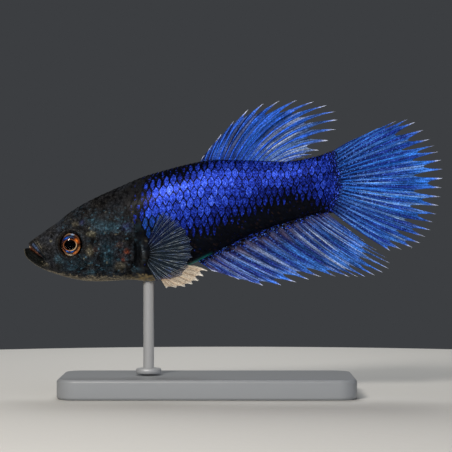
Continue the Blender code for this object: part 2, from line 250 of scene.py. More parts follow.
# Each row holds the back (x, z), the widest point of the flank (x, z), the belly (x, z), half width.
BODY_STATIONS = (
    (-30.66, 22.44, -28.05, 20.10, -31.23, 22.00, 1.45),  # inner rim of the lips
    (-30.81, 22.77, -27.81, 20.01, -31.50, 21.75, 1.75),  # crest of the lips
    (-30.00, 23.46, -27.22, 20.32, -30.83, 20.32, 2.30),  # snout and chin
    (-27.60, 25.13, -25.80, 21.15, -27.90, 18.56, 3.05),  # front of the eye
    (-22.80, 28.53, -22.20, 22.43, -22.20, 17.10, 3.75),  # behind the eye
    (-15.60, 31.98, -15.60, 23.70, -15.60, 17.18, 4.10),  # gill cover
    (-11.10, 33.56, -11.10, 24.83, -11.10, 17.28, 3.95),  # root of the pelvic fins
    (-4.20, 35.18, -4.20, 27.30, -4.20, 20.61, 3.40),  # front of the dorsal fin
    (2.40, 35.25, 2.40, 29.18, 2.40, 23.93, 2.80),  # middle of the dorsal fin
    (8.10, 35.10, 8.10, 30.45, 8.10, 25.95, 2.25),  # rear of the dorsal fin
    (12.60, 35.93, 12.60, 31.35, 12.60, 27.18, 1.65),  # tail stalk
    (14.85, 36.72, 15.00, 31.73, 14.85, 27.22, 1.00),  # root of the tail fin
    (15.45, 36.45, 16.35, 31.80, 15.45, 27.30, 0.40),  # end of the scaled body
)
FULLNESS = 0.9  # of the rings: 1 is a plain ellipse, and less is squarer
MOUTH_CORNER = np.array((-28.05, 20.10))
MOUTH_FRONT = np.array((-30.95, 22.25))
EYE_CENTRE = np.array((-24.31, 2.42, 22.56))
SOCKET_CENTRE, SOCKET_RADII = EYE_CENTRE[[0, 2]] + 0.05, (1.64, 1.76)
CHEEK_CENTRE = -25.2, 21.8
GILL_CENTRE = np.array((-17.60, 21.20))
GILL_RADII = np.array((2.75, 3.55))
NOSTRIL = np.array((-27.22, 23.75))
PECTORAL_ROOT = np.array((-13.35, 21.40))
COAT_DEPTH = 0.11  # of the scales, measured inwards from the solids' surface
LIP_GAP = 0.34  # how far the upper lip comes down at the front of the mouth
TAIL_THINNING = 12.2, 15.4  # x at which the body starts and ends to thin towards the tail fin


def smooth_line(rows, at):
    """Catmull-Rom line through evenly spaced rows, for places 0 to 1; it runs on straight past its ends."""
    rows = np.asarray(rows, float)
    padded = np.vstack([2 * rows[0] - rows[1], rows, 2 * rows[-1] - rows[-2]])
    place = np.asarray(at, float) * (len(rows) - 1)
    k = np.clip(np.floor(place).astype(int), 0, len(rows) - 2)
    past = (place - k)[..., None]
    f = np.clip(past, 0, 1)
    a, b, c, d = padded[k], padded[k + 1], padded[k + 2], padded[k + 3]
    bow = (2 * a - 5 * b + 4 * c - d) * f**2 + (3 * b - a - 3 * c + d) * f**3
    return b + 0.5 * ((c - a) * f + bow) + (past - f) * (c - b)


def eased(value, low, high):
    """0 below low and 1 above high, with a smooth S between."""
    f = np.clip((value - low) / (high - low), 0, 1)
    return f * f * (3 - 2 * f)


def faded(value, low, high):
    """1 below low and 0 above high."""
    return 1 - eased(value, low, high)


def hump(distance, width):
    """A bell of height 1, which falls to 1/e at this width."""
    return np.exp(-((distance / width) ** 2))


def mottle(places, size, seed):
    """Smooth random field from -1 to 1: random values on a cubic lattice of this size, eased between."""
    cells = 48  # each way, after which the field repeats
    table = np.random.default_rng(seed).uniform(-1, 1, (cells, cells, cells))
    place = np.asarray(places) / size
    corner = np.floor(place).astype(int)
    part = place - corner
    part = part * part * (3 - 2 * part)
    total = np.zeros(place.shape[:-1])
    for step in np.ndindex(2, 2, 2):
        weight = np.prod(np.where(step, part, 1 - part), axis=-1)
        i, j, k = np.moveaxis((corner + step) % cells, -1, 0)
        total += weight * table[i, j, k]
    return total


def body_surface(along, turn):
    """Rings of half ellipses: from the widest point of the flank up to the back by the cosine of turn, or
    down to the belly, and out by the sine. turn is 0 on the back, and rises over the left flank."""
    guide = smooth_line(BODY_STATIONS, along)
    rise = np.abs(np.cos(turn)) ** FULLNESS
    upper = (np.cos(turn) >= 0)[..., None]
    edge = np.where(upper, guide[..., 0:2], guide[..., 4:6])
    side_view = guide[..., 2:4] + (edge - guide[..., 2:4]) * rise[..., None]
    across = -guide[..., 6] * np.sign(np.sin(turn)) * np.abs(np.sin(turn)) ** FULLNESS
    return np.stack([side_view[..., 0], across, side_view[..., 1]], axis=-1)


def body_normal(along, turn, step=2e-3):
    """Outward unit normal: the cross product of the surface's slopes round the ring and along the body."""
    ahead = np.clip(along + step, 0, 1)
    behind = np.clip(along - step, 0, 1)
    lengthwise = body_surface(ahead, turn) - body_surface(behind, turn)
    round_ring = body_surface(along, turn + step) - body_surface(along, turn - step)
    normal = np.cross(round_ring, lengthwise)
    return normal / np.maximum(np.linalg.norm(normal, axis=-1, keepdims=True), 1e-9)


def from_mouth(x, z):
    """How far along the line from the mouth's front to its corner a place lies, as a share, and how far
    above it in mm."""
    run = MOUTH_CORNER - MOUTH_FRONT
    ax, az = x - MOUTH_FRONT[0], z - MOUTH_FRONT[1]
    share = (ax * run[0] + az * run[1]) / np.hypot(*run) ** 2
    return share, (run[0] * az - run[1] * ax) / np.hypot(*run)


def lip_fold(share, above):
    """Height over the mouth's line on a scale on which the lips' folds run level: they draw together
    towards the corner."""
    return above / (1.2 - 0.8 * np.clip(share, 0, 1))


def gill_place(x, z):
    """1 on the rim of the gill cover, which is an ellipse, and less inside it."""
    return np.hypot((x - GILL_CENTRE[0]) / GILL_RADII[0], (z - GILL_CENTRE[1]) / GILL_RADII[1])


def socket_place(x, z):
    """1 on the rim of the eye's opening, which is a slightly tall ellipse, and less inside it."""
    return np.hypot((x - SOCKET_CENTRE[0]) / SOCKET_RADII[0], (z - SOCKET_CENTRE[1]) / SOCKET_RADII[1])


def ridges(distance, rows):
    """Ridges and furrows side by side: each row is a height in mm, and the distance and width of its hump."""
    return sum(height * hump(distance - at, width) for height, at, width in rows)


LIP_FOLDS = (
    (0.07, 0.24, 0.15), (-0.08, 0.48, 0.06), (0.08, 0.76, 0.18), (-0.10, 1.03, 0.07), (0.05, 1.17, 0.07),
    (-0.05, 1.30, 0.05), (0.05, 1.50, 0.12),
)


def relief(points):
    """Folds and ridges of the head, in mm out from the plain form: the socket and its rim, the lips and
    jaw bones, the nostril, the cheek, the gill cover with the slit behind it, and the pectoral's root."""
    x, z = points[..., 0], points[..., 2]
    flank = eased(np.abs(points[..., 1]), 0.2, 1.0)
    eye, front = socket_place(x, z), EYE_CENTRE[0] - x
    out = ridges(eye, ((-0.10, 1.09, 0.05), (0.10, 1.20, 0.09))) - 1.25 * faded(eye, 1.00, 1.08)
    out -= 0.08 * hump(eye - 1.38, 0.05) * eased(front, -0.6, 0.9)
    out += 0.03 * hump(eye - 2.55, 0.13) * eased(front, -0.6, 1.0)
    out -= 0.05 * hump(eye - 2.32, 0.09) * (0.3 + 0.7 * eased(front, -0.6, 1.0))

    share, above = from_mouth(x, z)
    lips = flank * eased(share, -0.05, 0.12) * faded(share, 1.0, 1.22)
    out += lips * (ridges(lip_fold(share, above), LIP_FOLDS) - 0.06 * hump(above + 0.62, 0.10))
    nostril = np.hypot(x - NOSTRIL[0], z - NOSTRIL[1])
    out += 0.05 * hump(nostril - 0.27, 0.09) - 0.25 * faded(nostril, 0.06, 0.22)

    cheek_x, cheek_z = x - CHEEK_CENTRE[0], z - CHEEK_CENTRE[1]
    angle = np.arctan2(cheek_z, cheek_x)
    behind = flank * eased(angle, -1.45, -1.15) * faded(angle, 0.35, 0.75)
    out += behind * ridges(np.hypot(cheek_x, cheek_z), ((0.05, 4.5, 0.22), (-0.07, 4.85, 0.09)))
    rim = gill_place(x, z)
    out += flank * (0.05 * faded(rim, 0.85, 1.0) - 0.03 * hump(rim - 1.06, 0.04))
    slit = flank * eased(x - GILL_CENTRE[0], 0.0, 1.2) * faded(z, 22.7, 23.7)
    slit *= 0.3 + 0.7 * eased(z, 18.8, 20.0)
    out -= slit * ridges(rim, ((0.36, 1.09, 0.06), (0.14, 1.22, 0.13)))
    throat = flank * eased(-x, 14.8, 16.5) * faded(-x, 25.5, 27.5)
    out -= throat * ridges(z, ((0.05, 17.95, 0.07), (0.04, 18.50, 0.06)))
    pad = np.hypot((x - PECTORAL_ROOT[0]) / 0.75, (z - PECTORAL_ROOT[1]) / 1.75)
    return out + 0.16 * flank * faded(pad, 0.55, 1.1)


def coat_at(x):
    """Depth of the scales: full on the flank, thinner over the gill cover and almost nothing on the snout."""
    return COAT_DEPTH * (0.2 + 0.8 * eased(x, -23.0, -14.5))


def close_lips(points, upper):
    """Draws the edges of the two lips together, from a notch at the front of the mouth back to its corner."""
    share, above = from_mouth(points[..., 0], points[..., 2])
    gap = LIP_GAP * np.clip(1 - share, 0, 1)
    down = gap * eased(share, 0.02, 0.16) * faded(above - gap, 0.0, 0.9)
    up = 0.9 * gap * eased(share, -0.05, 0.10) * faded(-above - gap, 0.0, 0.7)
    run = MOUTH_CORNER - MOUTH_FRONT
    shift = np.where(upper, -down, up)[..., None] * np.array((-run[1], 0.0, run[0])) / np.hypot(*run)
    return points + shift


def skin_surface(along, turn, lift=0.0):
    """The hide: the body drawn in by the depth of the coat, with the folds of the head, then lifted. It
    thins towards its end, where the rays of the tail take over."""
    points = close_lips(body_surface(along, turn), np.cos(turn) >= 0)
    points[..., 1] *= 1 - 0.80 * eased(points[..., 0], *TAIL_THINNING)
    out = relief(points) - coat_at(points[..., 0]) + lift
    return points + body_normal(along, turn) * out[..., None]


CHARCOAL, SLATE, NAVY_BLACK, SOOT = "#242322", "#272a30", "#05070f", "#08080a"
TEAL, TEAL_PALE, OCHRE, BEIGE, GOLD = "#122f39", "#3f5f6e", "#6f6854", "#8a7f6a", "#9a8250"
BROWN, RUST, BONE, VIOLET, MOUTH_RED = "#3d2a22", "#6e331c", "#858069", "#343c68", "#4f2a1c"
# Marks on the side of the head: centre (x, z), radii (x, z), colour, strength.
HEAD_MARKS = (
    (-17.20, 23.70, 2.30, 0.75, SOOT, 1.00),  # dark stripe from the eye to the gill opening
    (-20.10, 20.30, 0.55, 1.00, SOOT, 0.90),
    (-28.60, 19.55, 1.00, 0.30, OCHRE, 0.85),  # under the corner of the mouth
    (-26.00, 20.50, 0.80, 0.80, TEAL_PALE, 0.60),
    (-16.60, 18.20, 0.90, 0.35, SOOT, 0.80),
    (-22.00, 23.00, 0.70, 0.60, SOOT, 0.60),
    (-18.75, 21.00, 1.00, 2.20, TEAL, 0.95),  # upright band on the gill cover
    (-18.60, 25.20, 2.10, 0.80, TEAL_PALE, 0.75),  # pale speckled band over it
    (-20.60, 26.00, 1.20, 0.60, TEAL_PALE, 0.40),
    (-15.90, 25.20, 0.90, 0.60, VIOLET, 0.75),
    (-21.20, 24.15, 0.75, 0.45, BONE, 0.85),  # behind the eye
    (-21.40, 21.60, 0.65, 0.80, OCHRE, 0.85),
    (-20.50, 21.75, 0.45, 0.55, BROWN, 0.90),
    (-16.95, 22.50, 0.60, 0.55, BROWN, 0.75),
    (-16.60, 21.10, 0.60, 0.50, BROWN, 0.60),
    (-15.85, 21.60, 0.50, 0.40, RUST, 1.00),  # rim of the gill cover
    (-16.45, 20.35, 0.28, 0.34, RUST, 0.85),
    (-16.90, 19.40, 0.75, 0.80, OCHRE, 0.70),
    (-23.60, 25.60, 0.55, 0.40, OCHRE, 0.60),  # over the eye
    (-22.60, 25.85, 0.40, 0.40, VIOLET, 0.80),
    (-24.20, 19.40, 1.90, 1.00, TEAL, 0.45),  # cheek
    (-22.30, 20.10, 1.30, 0.90, TEAL, 0.40),
    (-21.20, 18.40, 0.80, 0.45, TEAL_PALE, 0.75),
    (-24.20, 18.95, 0.60, 0.30, TEAL_PALE, 0.50),
    (-27.25, 23.12, 0.24, 0.20, BONE, 0.95),  # beside the nostril
    (-26.90, 24.60, 0.32, 0.16, SLATE, 0.80),
    (-25.45, 18.35, 0.22, 0.18, OCHRE, 0.80),
    (-14.00, 25.10, 0.90, 0.80, TEAL, 0.90),  # above the pectoral fin
    (-14.60, 18.90, 0.70, 0.45, TEAL_PALE, 0.55),
)


def blend_to(ground, *layers):
    """Ground colour carried a share of the way to each (colour, share) in turn."""
    for colour, share in layers:
        ground = ground + (linear(colour) - ground) * np.clip(share, 0, 1)[..., None]
    return ground


belly_line = smooth_line(BODY_STATIONS, np.linspace(0.08, 1, 240))[:, 4:6]
# How far up the throat and belly the pale skin reaches, in mm, at these places along the body.
PALE_THROAT = (-30.0, -27.0, -24.0, -20.0, -16.0, -13.0, -9.0), (0.12, 0.35, 0.70, 1.00, 0.80, 1.10, 0.60)
HIDE_GRAIN = (1.3, 1), (0.50, 4), (0.26, 2), (0.14, 3)  # sizes in mm and seeds: broad, middle, fine, speck


def over_belly(x, z):
    """Distance in mm from the lower outline: exact where it is straight, from its height above it and its
    distance behind it."""
    above = np.maximum(z - np.interp(x, *belly_line.T), 1e-3)
    chin = belly_line[belly_line[:, 0] < -23.0][::-1]
    behind = np.maximum(x - np.interp(z, chin[:, 1], chin[:, 0]), 1e-3)
    return np.where(x < -24.0, above * behind / np.hypot(above, behind), above)


def colour_head(tint, x, z, broad, mid, fine, speck, grain):
    """Charcoal clouded with slate and soot, with a teal cast, marks and light speckles on its side."""
    side = eased(z, 17.6, 18.8) * faded(z, 26.5, 29.0) * eased(x, -27.5, -23.5)
    tint = blend_to(tint, (SLATE, 0.4 + 0.7 * broad))
    tint *= (1 - 0.35 * eased(x, -24.0, -18.0) * eased(z, 24.5, 27.5))[..., None]
    tint = blend_to(tint, (SOOT, 0.85 * eased(mid - 0.4 * broad, -0.05, 0.6) * eased(x, -27.5, -22.0)))
    tint *= (1 + 0.35 * fine + 0.40 * speck)[..., None]
    tint = blend_to(tint, (TEAL, side * grain * (0.20 + 0.5 * broad)))
    for mark_x, mark_z, radius_x, radius_z, colour, strength in HEAD_MARKS:
        far = np.hypot((x - mark_x) / radius_x, (z - mark_z) / radius_z) + 0.30 * mid + 0.25 * fine
        tint = blend_to(tint, (colour, strength * faded(far, 0.45, 1.35) * (0.30 + 0.70 * grain)))
    return blend_to(
        tint,
        (TEAL_PALE, 0.75 * side * eased(speck * mid + 0.25 * fine, 0.20, 0.42)),
        (BONE, 0.6 * side * eased(speck - 0.6 * mid, 0.85, 1.2)),
    )


def colour_flank(tint, x, z, broad, mid, fine, speck, grain):
    """Navy black on the flank with a few brown flecks, and tan along the throat and chest, mottled gold
    and soot; a green gleam lies along the belly behind them."""
    flank = eased(x + 1.4 * broad + 0.6 * mid, -14.8, -10.5)
    dark_flank = linear(NAVY_BLACK) * (1 + 0.45 * fine + 0.4 * speck)[..., None]
    tint += (dark_flank - tint) * (0.95 * flank)[..., None]
    edge = over_belly(x, z)
    low = eased(edge / np.interp(x, *PALE_THROAT) + 0.45 * fine + 0.3 * speck, 0.3, 1.1)
    low = (1 - low) * faded(x, -9.0, -5.5)
    return blend_to(
        tint,
        (BROWN, 0.45 * flank * eased(speck - 0.5 * fine, 0.55, 0.9)),
        (BEIGE, low * (0.85 + 0.3 * broad)),
        (GOLD, 0.8 * low * eased(x, -16.5, -13.0) * eased(mid, -0.6, 0.2)),
        (SOOT, 0.6 * low * eased(speck + 0.5 * fine, 0.35, 0.8)),
        ("#23857f", 0.95 * hump(edge - 0.12, 0.22) * eased(x, -8.6, -7.4) * faded(x, -4.0, -3.0)),
    )


def colour_mouth(tint, x, z, broad, mid, fine, speck, grain):
    """A mottled nose, a black chin edged with ochre, and lips in bands of brown, slate and beige, with
    painted shade in the furrows between their folds and a painted highlight, a cream dot, on the front of the
    upper lip."""
    nose = eased(-x, 24.8, 27.2) * eased(z, 21.6, 23.0)
    tint *= (1 + nose * (0.45 + 0.60 * mid))[..., None]
    edge = over_belly(x, z)
    share, above = from_mouth(x, z)
    fold = lip_fold(share, above)
    jaw = faded(above, -0.06, 0.02) * faded(share, 0.95, 1.10)
    lip = eased(share, -0.1, 0.2) * faded(share, 0.85, 1.1)
    bone = lip * faded(share, 0.44, 0.62)
    # where painted shade lies: the furrows between the lips' folds
    furrows = ridges(fold, ((1, 0.50, 0.06), (1, 1.04, 0.07), (1, 1.31, 0.06)))
    beige = hump(fold - 1.52 + 0.08 * mid, 0.10) * eased(share, 0.12, 0.3) * eased(fine, -0.4, 0.4)
    return blend_to(
        tint,
        ("#0c0e0c", 0.92 * jaw * eased(edge, 0.10, 0.24)),
        (OCHRE, 0.75 * jaw * faded(edge, 0.08, 0.18)),
        (OCHRE, 0.85 * grain * hump(share - 1.05, 0.16) * hump(above + 0.35, 0.30)),
        ("#0d1418", 0.90 * hump(fold - 0.66, 0.36) * lip * eased(share, 0.40, 0.60)),
        ("#56301c", 0.95 * hump(fold - 0.20, 0.17) * lip * faded(share, 0.35, 0.90)),
        ("#465878", 0.90 * hump(fold - 0.77, 0.20) * bone * eased(share, 0.06, 0.20) * (0.7 + 0.5 * grain)),
        # painted shade in the furrows
        (SOOT, 0.90 * furrows * lip),
        ("#5a5852", 0.70 * hump(fold - 1.17, 0.06) * lip),
        ("#857e6c", 0.80 * beige * bone),
        # painted highlight: a cream dot on the front of the upper lip
        ("#d6bf9e", 0.90 * hump(3 * share - 0.28, 0.09) * hump(above - 0.2, 0.09)),
    )


def colour_eye_and_gill(tint, x, z, broad, mid, fine, speck, grain):
    """Painted shade on the skin sunk into the eye's socket and in the furrow round it, with a brown line and
    a painted highlight on the socket's upper rim; painted shade in the nostril, in the slit behind the gill
    cover and the groove behind it, and about the pectoral fin's root; and the pale stripe there."""
    eye = socket_place(x, z)
    front = eased(EYE_CENTRE[0] - x, -0.6, 0.9)
    rim = gill_place(x, z)
    # where painted shade lies in the slit behind the gill cover
    slit = eased(x - GILL_CENTRE[0], 0.8, 1.8) * faded(z, 22.9, 23.6)
    slit *= 0.25 + 0.75 * eased(z, 19.0, 20.5)
    # painted shade above the pectoral fin's root
    shade_above_fin = eased(x, -14.9, -14.4) * faded(x + 0.8 * (z - 24.5), -13.2, -12.7) * hump(z - 24.2, 0.9)
    stripe = hump(x + 13.5 + 0.12 * mid, 0.10) * hump(z - 21.2, 1.25) * (0.3 + 0.7 * grain)
    return blend_to(
        tint,
        # painted shade on the skin sunk into the socket, then a brown line at its lip
        ("#1a1816", 0.90 * faded(eye - 0.20 * front, 1.00, 1.05)),
        ("#3a2a20", 0.50 * hump(eye - 1.06, 0.03) * front),
        # painted shade in the furrow round the front of the socket, and a painted highlight on its upper rim
        ("#0a0909", 0.80 * hump(eye - 1.38, 0.05) * front),
        ("#46433f", 0.45 * hump(eye - 1.29, 0.04) * eased(z - EYE_CENTRE[2], -0.4, 0.9)),
        # painted shade in the nostril's pit
        ("#0c0b0b", 0.90 * faded(np.hypot(x - NOSTRIL[0], z - NOSTRIL[1]), 0.12, 0.30)),
        # painted shade in the slit behind the gill cover and in the groove behind it
        ("#020203", 0.98 * slit * faded(np.abs(rim - 1.12), 0.05, 0.11)),
        ("#090c10", 0.85 * slit * hump(rim - 1.27, 0.16)),
        # painted shade about the pectoral fin's root: in front of it, above it and behind it
        ("#080a0d", 0.85 * hump(x + 14.2, 0.55) * hump(z - 21.3, 1.9)),
        ("#050608", 0.90 * shade_above_fin),
        ("#080a0d", 0.85 * hump(x + 12.75, 0.35) * hump(z - 21.3, 1.6)),
        ("#727b80", 0.90 * stripe),
    )


def hide_tint(points):
    """Markings of the hide in linear colour, with painted shade and highlights about the eye, the mouth,
    the gills and the pectoral fin's root; the same for the skin and for the scales over it.
    """
    x, z = points[..., 0], points[..., 2]
    broad, mid, fine, speck = (mottle(points, size, seed) for size, seed in HIDE_GRAIN)
    grain = eased(0.6 * speck + 0.5 * fine, -0.10, 0.45)
    tint = np.ones(points.shape) * linear(CHARCOAL)
    for colour_part in (colour_head, colour_flank, colour_mouth, colour_eye_and_gill):
        tint = colour_part(tint, x, z, broad, mid, fine, speck, grain)
    return tint


def speckled(node, tint):
    """The hide's grain: soft mottling 0.35 mm across, fine grain 0.13 mm across, and pigment cells in light
    specks 0.1 mm across. It gives the shaded colour and the fine grain."""
    place = node("TexCoord", out="Object")
    soft = node("TexNoise", place, 1 / (0.35 * MM), 2.0)
    grain = node("TexNoise", place, 1 / (0.13 * MM), 3.0)
    broad, close = (node("MapRange", noise, 0.3, 0.7, 0.40, 1.4) for noise in (soft, grain))
    speck = node("MapRange", node("TexVoronoi", place, 1 / (0.26 * MM)), 0.34, 0.12, 0.0, 1.7)
    level = node("Math MULTIPLY", broad, close)
    level = node("Math MULTIPLY_ADD", speck, node("MapRange", soft, 0.46, 0.56), level)
    return node("VectorMath SCALE", tint, level), grain


def wet_finish(name, *looks, metallic=0.0):
    """A finish of wet flesh, bone or fin rays under a clear coat of slime: roughness, IOR, specular level,
    weight and roughness of the coat."""
    keys = "Roughness", "IOR", "Specular IOR Level", "Coat Weight", "Coat Roughness"
    return new_finish(name, dict(zip(keys, looks), Metallic=metallic))


def wet_skin():
    """Wet fish skin: IOR of water on flesh, and fine grain in its bumps."""
    finish, node, shader = wet_finish("wet betta skin", 0.5, 1.38, 0.05, 0.02, 0.2)
    shade, grain = speckled(node, node("Attribute", attribute_name="tint"))
    feed(shader["Base Color"], shade)
    bump_from(node, shader, grain, 0.02)
    return finish


SKIN_ROUND = 340
# Distance between rings: fine over the eye and mouth, and coarse under the scales of the flank.
RING_SPACING = {"x": (-32.0, -20.5, -19.5, -13.5, -12.5, 18.0), "mm": (0.09, 0.09, 0.11, 0.11, 0.42, 0.42)}

trial = np.linspace(0, 1, 4000)
trial_line = smooth_line(BODY_STATIONS, trial)
trial_step = np.abs(np.diff(trial_line[:, [0, 1, 4, 5]], axis=0)).max(axis=1)
trial_count = trial_step / np.interp(trial_line[1:, 0], RING_SPACING["x"], RING_SPACING["mm"])
ring_count = np.concatenate([[0.0], np.cumsum(trial_count)])
skin_along = np.interp(np.linspace(0, ring_count[-1], int(ring_count[-1])), ring_count, trial)
skin_turn = np.linspace(0, 2 * np.pi, SKIN_ROUND, endpoint=False)
rings = skin_surface(*np.meshgrid(skin_along, skin_turn, indexing="ij"))
mouth_depth = np.linspace(0, 0.93, 12)[:0:-1, None, None]
throat_point = np.array((MOUTH_CORNER[0] - 0.35, 0.0, MOUTH_CORNER[1] + 0.25))
mouth_rings = rings[:1] + (throat_point - rings[:1]) * mouth_depth
skin_points, skin_faces = close_rings(np.concatenate([mouth_rings, rings]))
inside = np.zeros(len(skin_points))
inside[: len(mouth_rings) * SKIN_ROUND] = inside[-2] = 1.0
skin_tint = blend_to(hide_tint(skin_points), (MOUTH_RED, inside))
skin = make_piece("fish_skin", skin_points, skin_faces, wet_skin(), "head_skin", tint=skin_tint)
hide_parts("head", "lower_jaw", "gill_cover_left", "gill_cover_right", "trunk", "tail_stalk")

# ------------------------------
# Eyes: each ball sits in its socket and looks a little forward. The iris is a metallic ring round a black
# pupil, from which the round lens stands out, all under a thin clear cornea.
# ------------------------------

EYE_RADII = 1.75, 1.15  # across, and along its axis
EYE_YAW = np.radians(2)
PUPIL = 0.89  # its half width
IRIS_RIM = 1.70, 0.24  # radius of its outer edge, and the height up to which the back of the ball goes
LENS = 0.82, 0.20  # height of its foot, and how far it stands out from that
CORNEA_RIM, CORNEA_DEPTH = 1.72, 0.06
IRIS = (0.12, 0.05), (1.40, 1.72)  # middle of its outline from the pupil's middle, and half width and height
# Patches of the iris: angle in degrees (0 towards the tail, 90 up), its spread, radius, its spread, colour.
IRIS_PATCHES = (
    (130, 26, 1.56, 0.10, "#86684c", 0.90),
    (100, 14, 1.66, 0.09, "#a8906e", 0.95),
    (79, 9, 1.56, 0.09, "#a9c8ec", 1.00),
    (55, 14, 1.56, 0.08, "#5f4538", 0.80),
    (-25, 17, 1.46, 0.14, "#e09558", 1.00),
    (-58, 16, 1.42, 0.14, "#f08a46", 1.00),
    (-89, 15, 1.56, 0.13, "#fff2d4", 1.00),
    (-115, 14, 1.52, 0.12, "#d8ae80", 0.95),
    (222, 18, 1.30, 0.10, "#8f5532", 0.90),
    (180, 22, 1.16, 0.10, "#20130d", 0.90),
    (31, 16, 1.16, 0.17, "#f27c2a", 1.00),  # flame behind the pupil
    (14, 10, 1.30, 0.12, "#94401a", 0.95),
    (4, 16, 1.48, 0.28, "#130e0b", 0.97),
    (187, 28, 1.54, 0.15, "#3a2418", 0.85),
    (126, 26, 1.24, 0.16, "#081c46", 0.97),  # blue arcs
    (119, 12, 1.12, 0.10, "#1f62dc", 1.00),
    (88, 22, 1.18, 0.11, "#2c4468", 0.95),
    (-94, 32, 1.08, 0.08, "#0e2760", 0.97),
    (-112, 9, 1.05, 0.08, "#2478d8", 1.00),
    (-72, 10, 1.07, 0.08, "#1f6ccc", 1.00),
)


def eye_surface(profile, side, around=144):
    """Rings (radius, height) about the eye's axis, which is turned forward by the yaw; also their angles."""
    angle = np.linspace(0, 2 * np.pi, around, endpoint=False)
    radius, height = np.array(profile).T[:, :, None]
    x = radius * np.cos(angle)
    outward = np.broadcast_to(height, x.shape)
    turned_x = x * np.cos(EYE_YAW) - outward * np.sin(EYE_YAW)
    turned_y = x * np.sin(EYE_YAW) + outward * np.cos(EYE_YAW)
    centre = EYE_CENTRE * (1, side, 1)
    points = np.stack(
        [centre[0] + turned_x, centre[1] + side * turned_y, centre[2] + radius * np.sin(angle)], axis=-1
    )
    return points, np.broadcast_to(radius, x.shape), np.broadcast_to(angle, x.shape)


def dome(radius):
    """Height of the ball's front: a half ellipse."""
    return EYE_RADII[1] * np.sqrt(np.clip(1 - (radius / EYE_RADII[0]) ** 2, 0, 1))


def iris_tint(radius, angle, points):
    """Black pupil with a copper rim, and a nearly black iris with its patches, streaked outwards."""
    streak = mottle(np.stack([np.cos(angle) * 4, np.sin(angle) * 4, radius * 1.5], axis=-1), 0.30, 11)
    fine = mottle(points, 0.09, 12)
    tint = np.ones((*radius.shape, 3)) * linear("#1a120e") * (1 + 0.5 * fine)[..., None]
    x, z = radius * np.cos(angle), radius * np.sin(angle)
    (middle_x, middle_z), (half_x, half_z) = IRIS
    edge = np.hypot((x - middle_x) / half_x, (z - middle_z) / half_z)
    rear = 0.35 + 0.65 * eased(np.cos(angle), -0.9, 0.2)
    tint = blend_to(tint, ("#7a4a30", 0.8 * rear * hump(edge - 0.92, 0.06) * (1 + 0.4 * streak)))
    for at, spread, mid, width, colour, strength in IRIS_PATCHES:
        away = (np.degrees(angle) - at + 180) % 360 - 180
        weight = hump(away, spread * (1 + 0.25 * streak)) * hump(radius - mid, width)
        tint = blend_to(tint, (colour, strength * weight * (1 + 0.35 * streak + 0.25 * fine)))
    cream = eased(np.cos(angle + np.radians(35)), 0.1, 0.9)
    flat = np.hypot(x / 0.88, (z + 0.02) / 0.78)
    ring = hump(flat - 1.09, 0.06) * (0.75 + 0.25 * np.cos(angle + np.radians(60)))
    copper = blend_to(np.ones(tint.shape) * linear("#a8623a"), ("#e0bd90", cream))
    tint += (copper - tint) * np.clip(ring, 0, 1)[..., None]
    return blend_to(tint, ("#010102", faded(flat, 0.96, 1.03)), ("#060505", eased(edge, 0.97, 1.02)))


def eye_ball():
    """The iris's guanine is a soft metal sheen; the pupil's lens is smooth and wet."""
    looks = {"Roughness": 0.3, "Metallic": 0.1, "IOR": 1.4, "Specular IOR Level": 0.0}
    finish, node, shader = new_finish("iris and lens", looks)
    feed(shader["Base Color"], node("Attribute", attribute_name="tint"))
    return finish


def cornea_film():
    """Clear wet cornea: it shows only its gloss, which is faint."""
    finish, node, _ = new_finish("clear cornea", {})
    tree = finish.node_tree
    tree.nodes.remove(tree.nodes["Principled BSDF"])
    film = node("MixShader", 0.008, node("BsdfTransparent"), node("BsdfAnisotropic", Roughness=0.09))
    feed(tree.nodes["Material Output"].inputs["Surface"], film)
    return finish


back_turn = np.linspace(0.03, 0.60, 22) * np.pi
ball_profile = [(EYE_RADII[0] * np.sin(a), -EYE_RADII[1] * np.cos(a)) for a in back_turn]
ball_profile = [(min(r, IRIS_RIM[0]), h) for r, h in ball_profile if h < IRIS_RIM[1]]
iris_radius = np.linspace(IRIS_RIM[0], PUPIL, 34)
ball_profile += [(r, dome(r) * 0.93 - 0.02) for r in iris_radius]
lens_radius = np.linspace(PUPIL - 0.03, 0.03, 22)
ball_profile += [(r, LENS[0] + LENS[1] * np.sqrt(1 - (r / PUPIL) ** 2)) for r in lens_radius]
cornea_radius = np.linspace(CORNEA_RIM, 0.04, 26)
cornea_profile = [(r, dome(r) - CORNEA_DEPTH) for r in cornea_radius[::-1]]
cornea_profile += [(r, dome(r)) for r in cornea_radius]
ball_finish, cornea_finish = eye_ball(), cornea_film()
for side, word in SIDES:
    points, radius, angle = eye_surface(ball_profile, side)
    tint = iris_tint(radius, angle, points).reshape(-1, 3)
    tint = np.vstack([tint, tint[0], tint[-1]])
    ball = make_piece(f"eye_ball_{word}", *close_rings(points), ball_finish, "eye", tint=tint)
    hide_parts(f"eye_{word}")
    film = close_rings(eye_surface(cornea_profile, side)[0])
    make_piece(f"cornea_{word}", *film, cornea_finish, "eye")

# ------------------------------
# Scales of the flank: thin overlapping plates of bone in clear skin, rooted in front and free behind,
# in rows that run with the back. The blue is a film of crystals on the free part of each.
# ------------------------------

SCALE_PITCH = 1.03, 1.42  # along a row, and from row to row
SCALE_HALF = 0.97, 1.02  # half a plate's length and height
SCALE_LIFT = -0.06, 0.10  # of its root and its free edge over the skin
SCALE_GRID = 6, 8  # quads along and across a plate
SCALE_TAPER, SCALE_DIP = 0.30, 0.03  # how far a plate's corners draw in, and how far its sides dip
BAKE_PATCH = 0.003
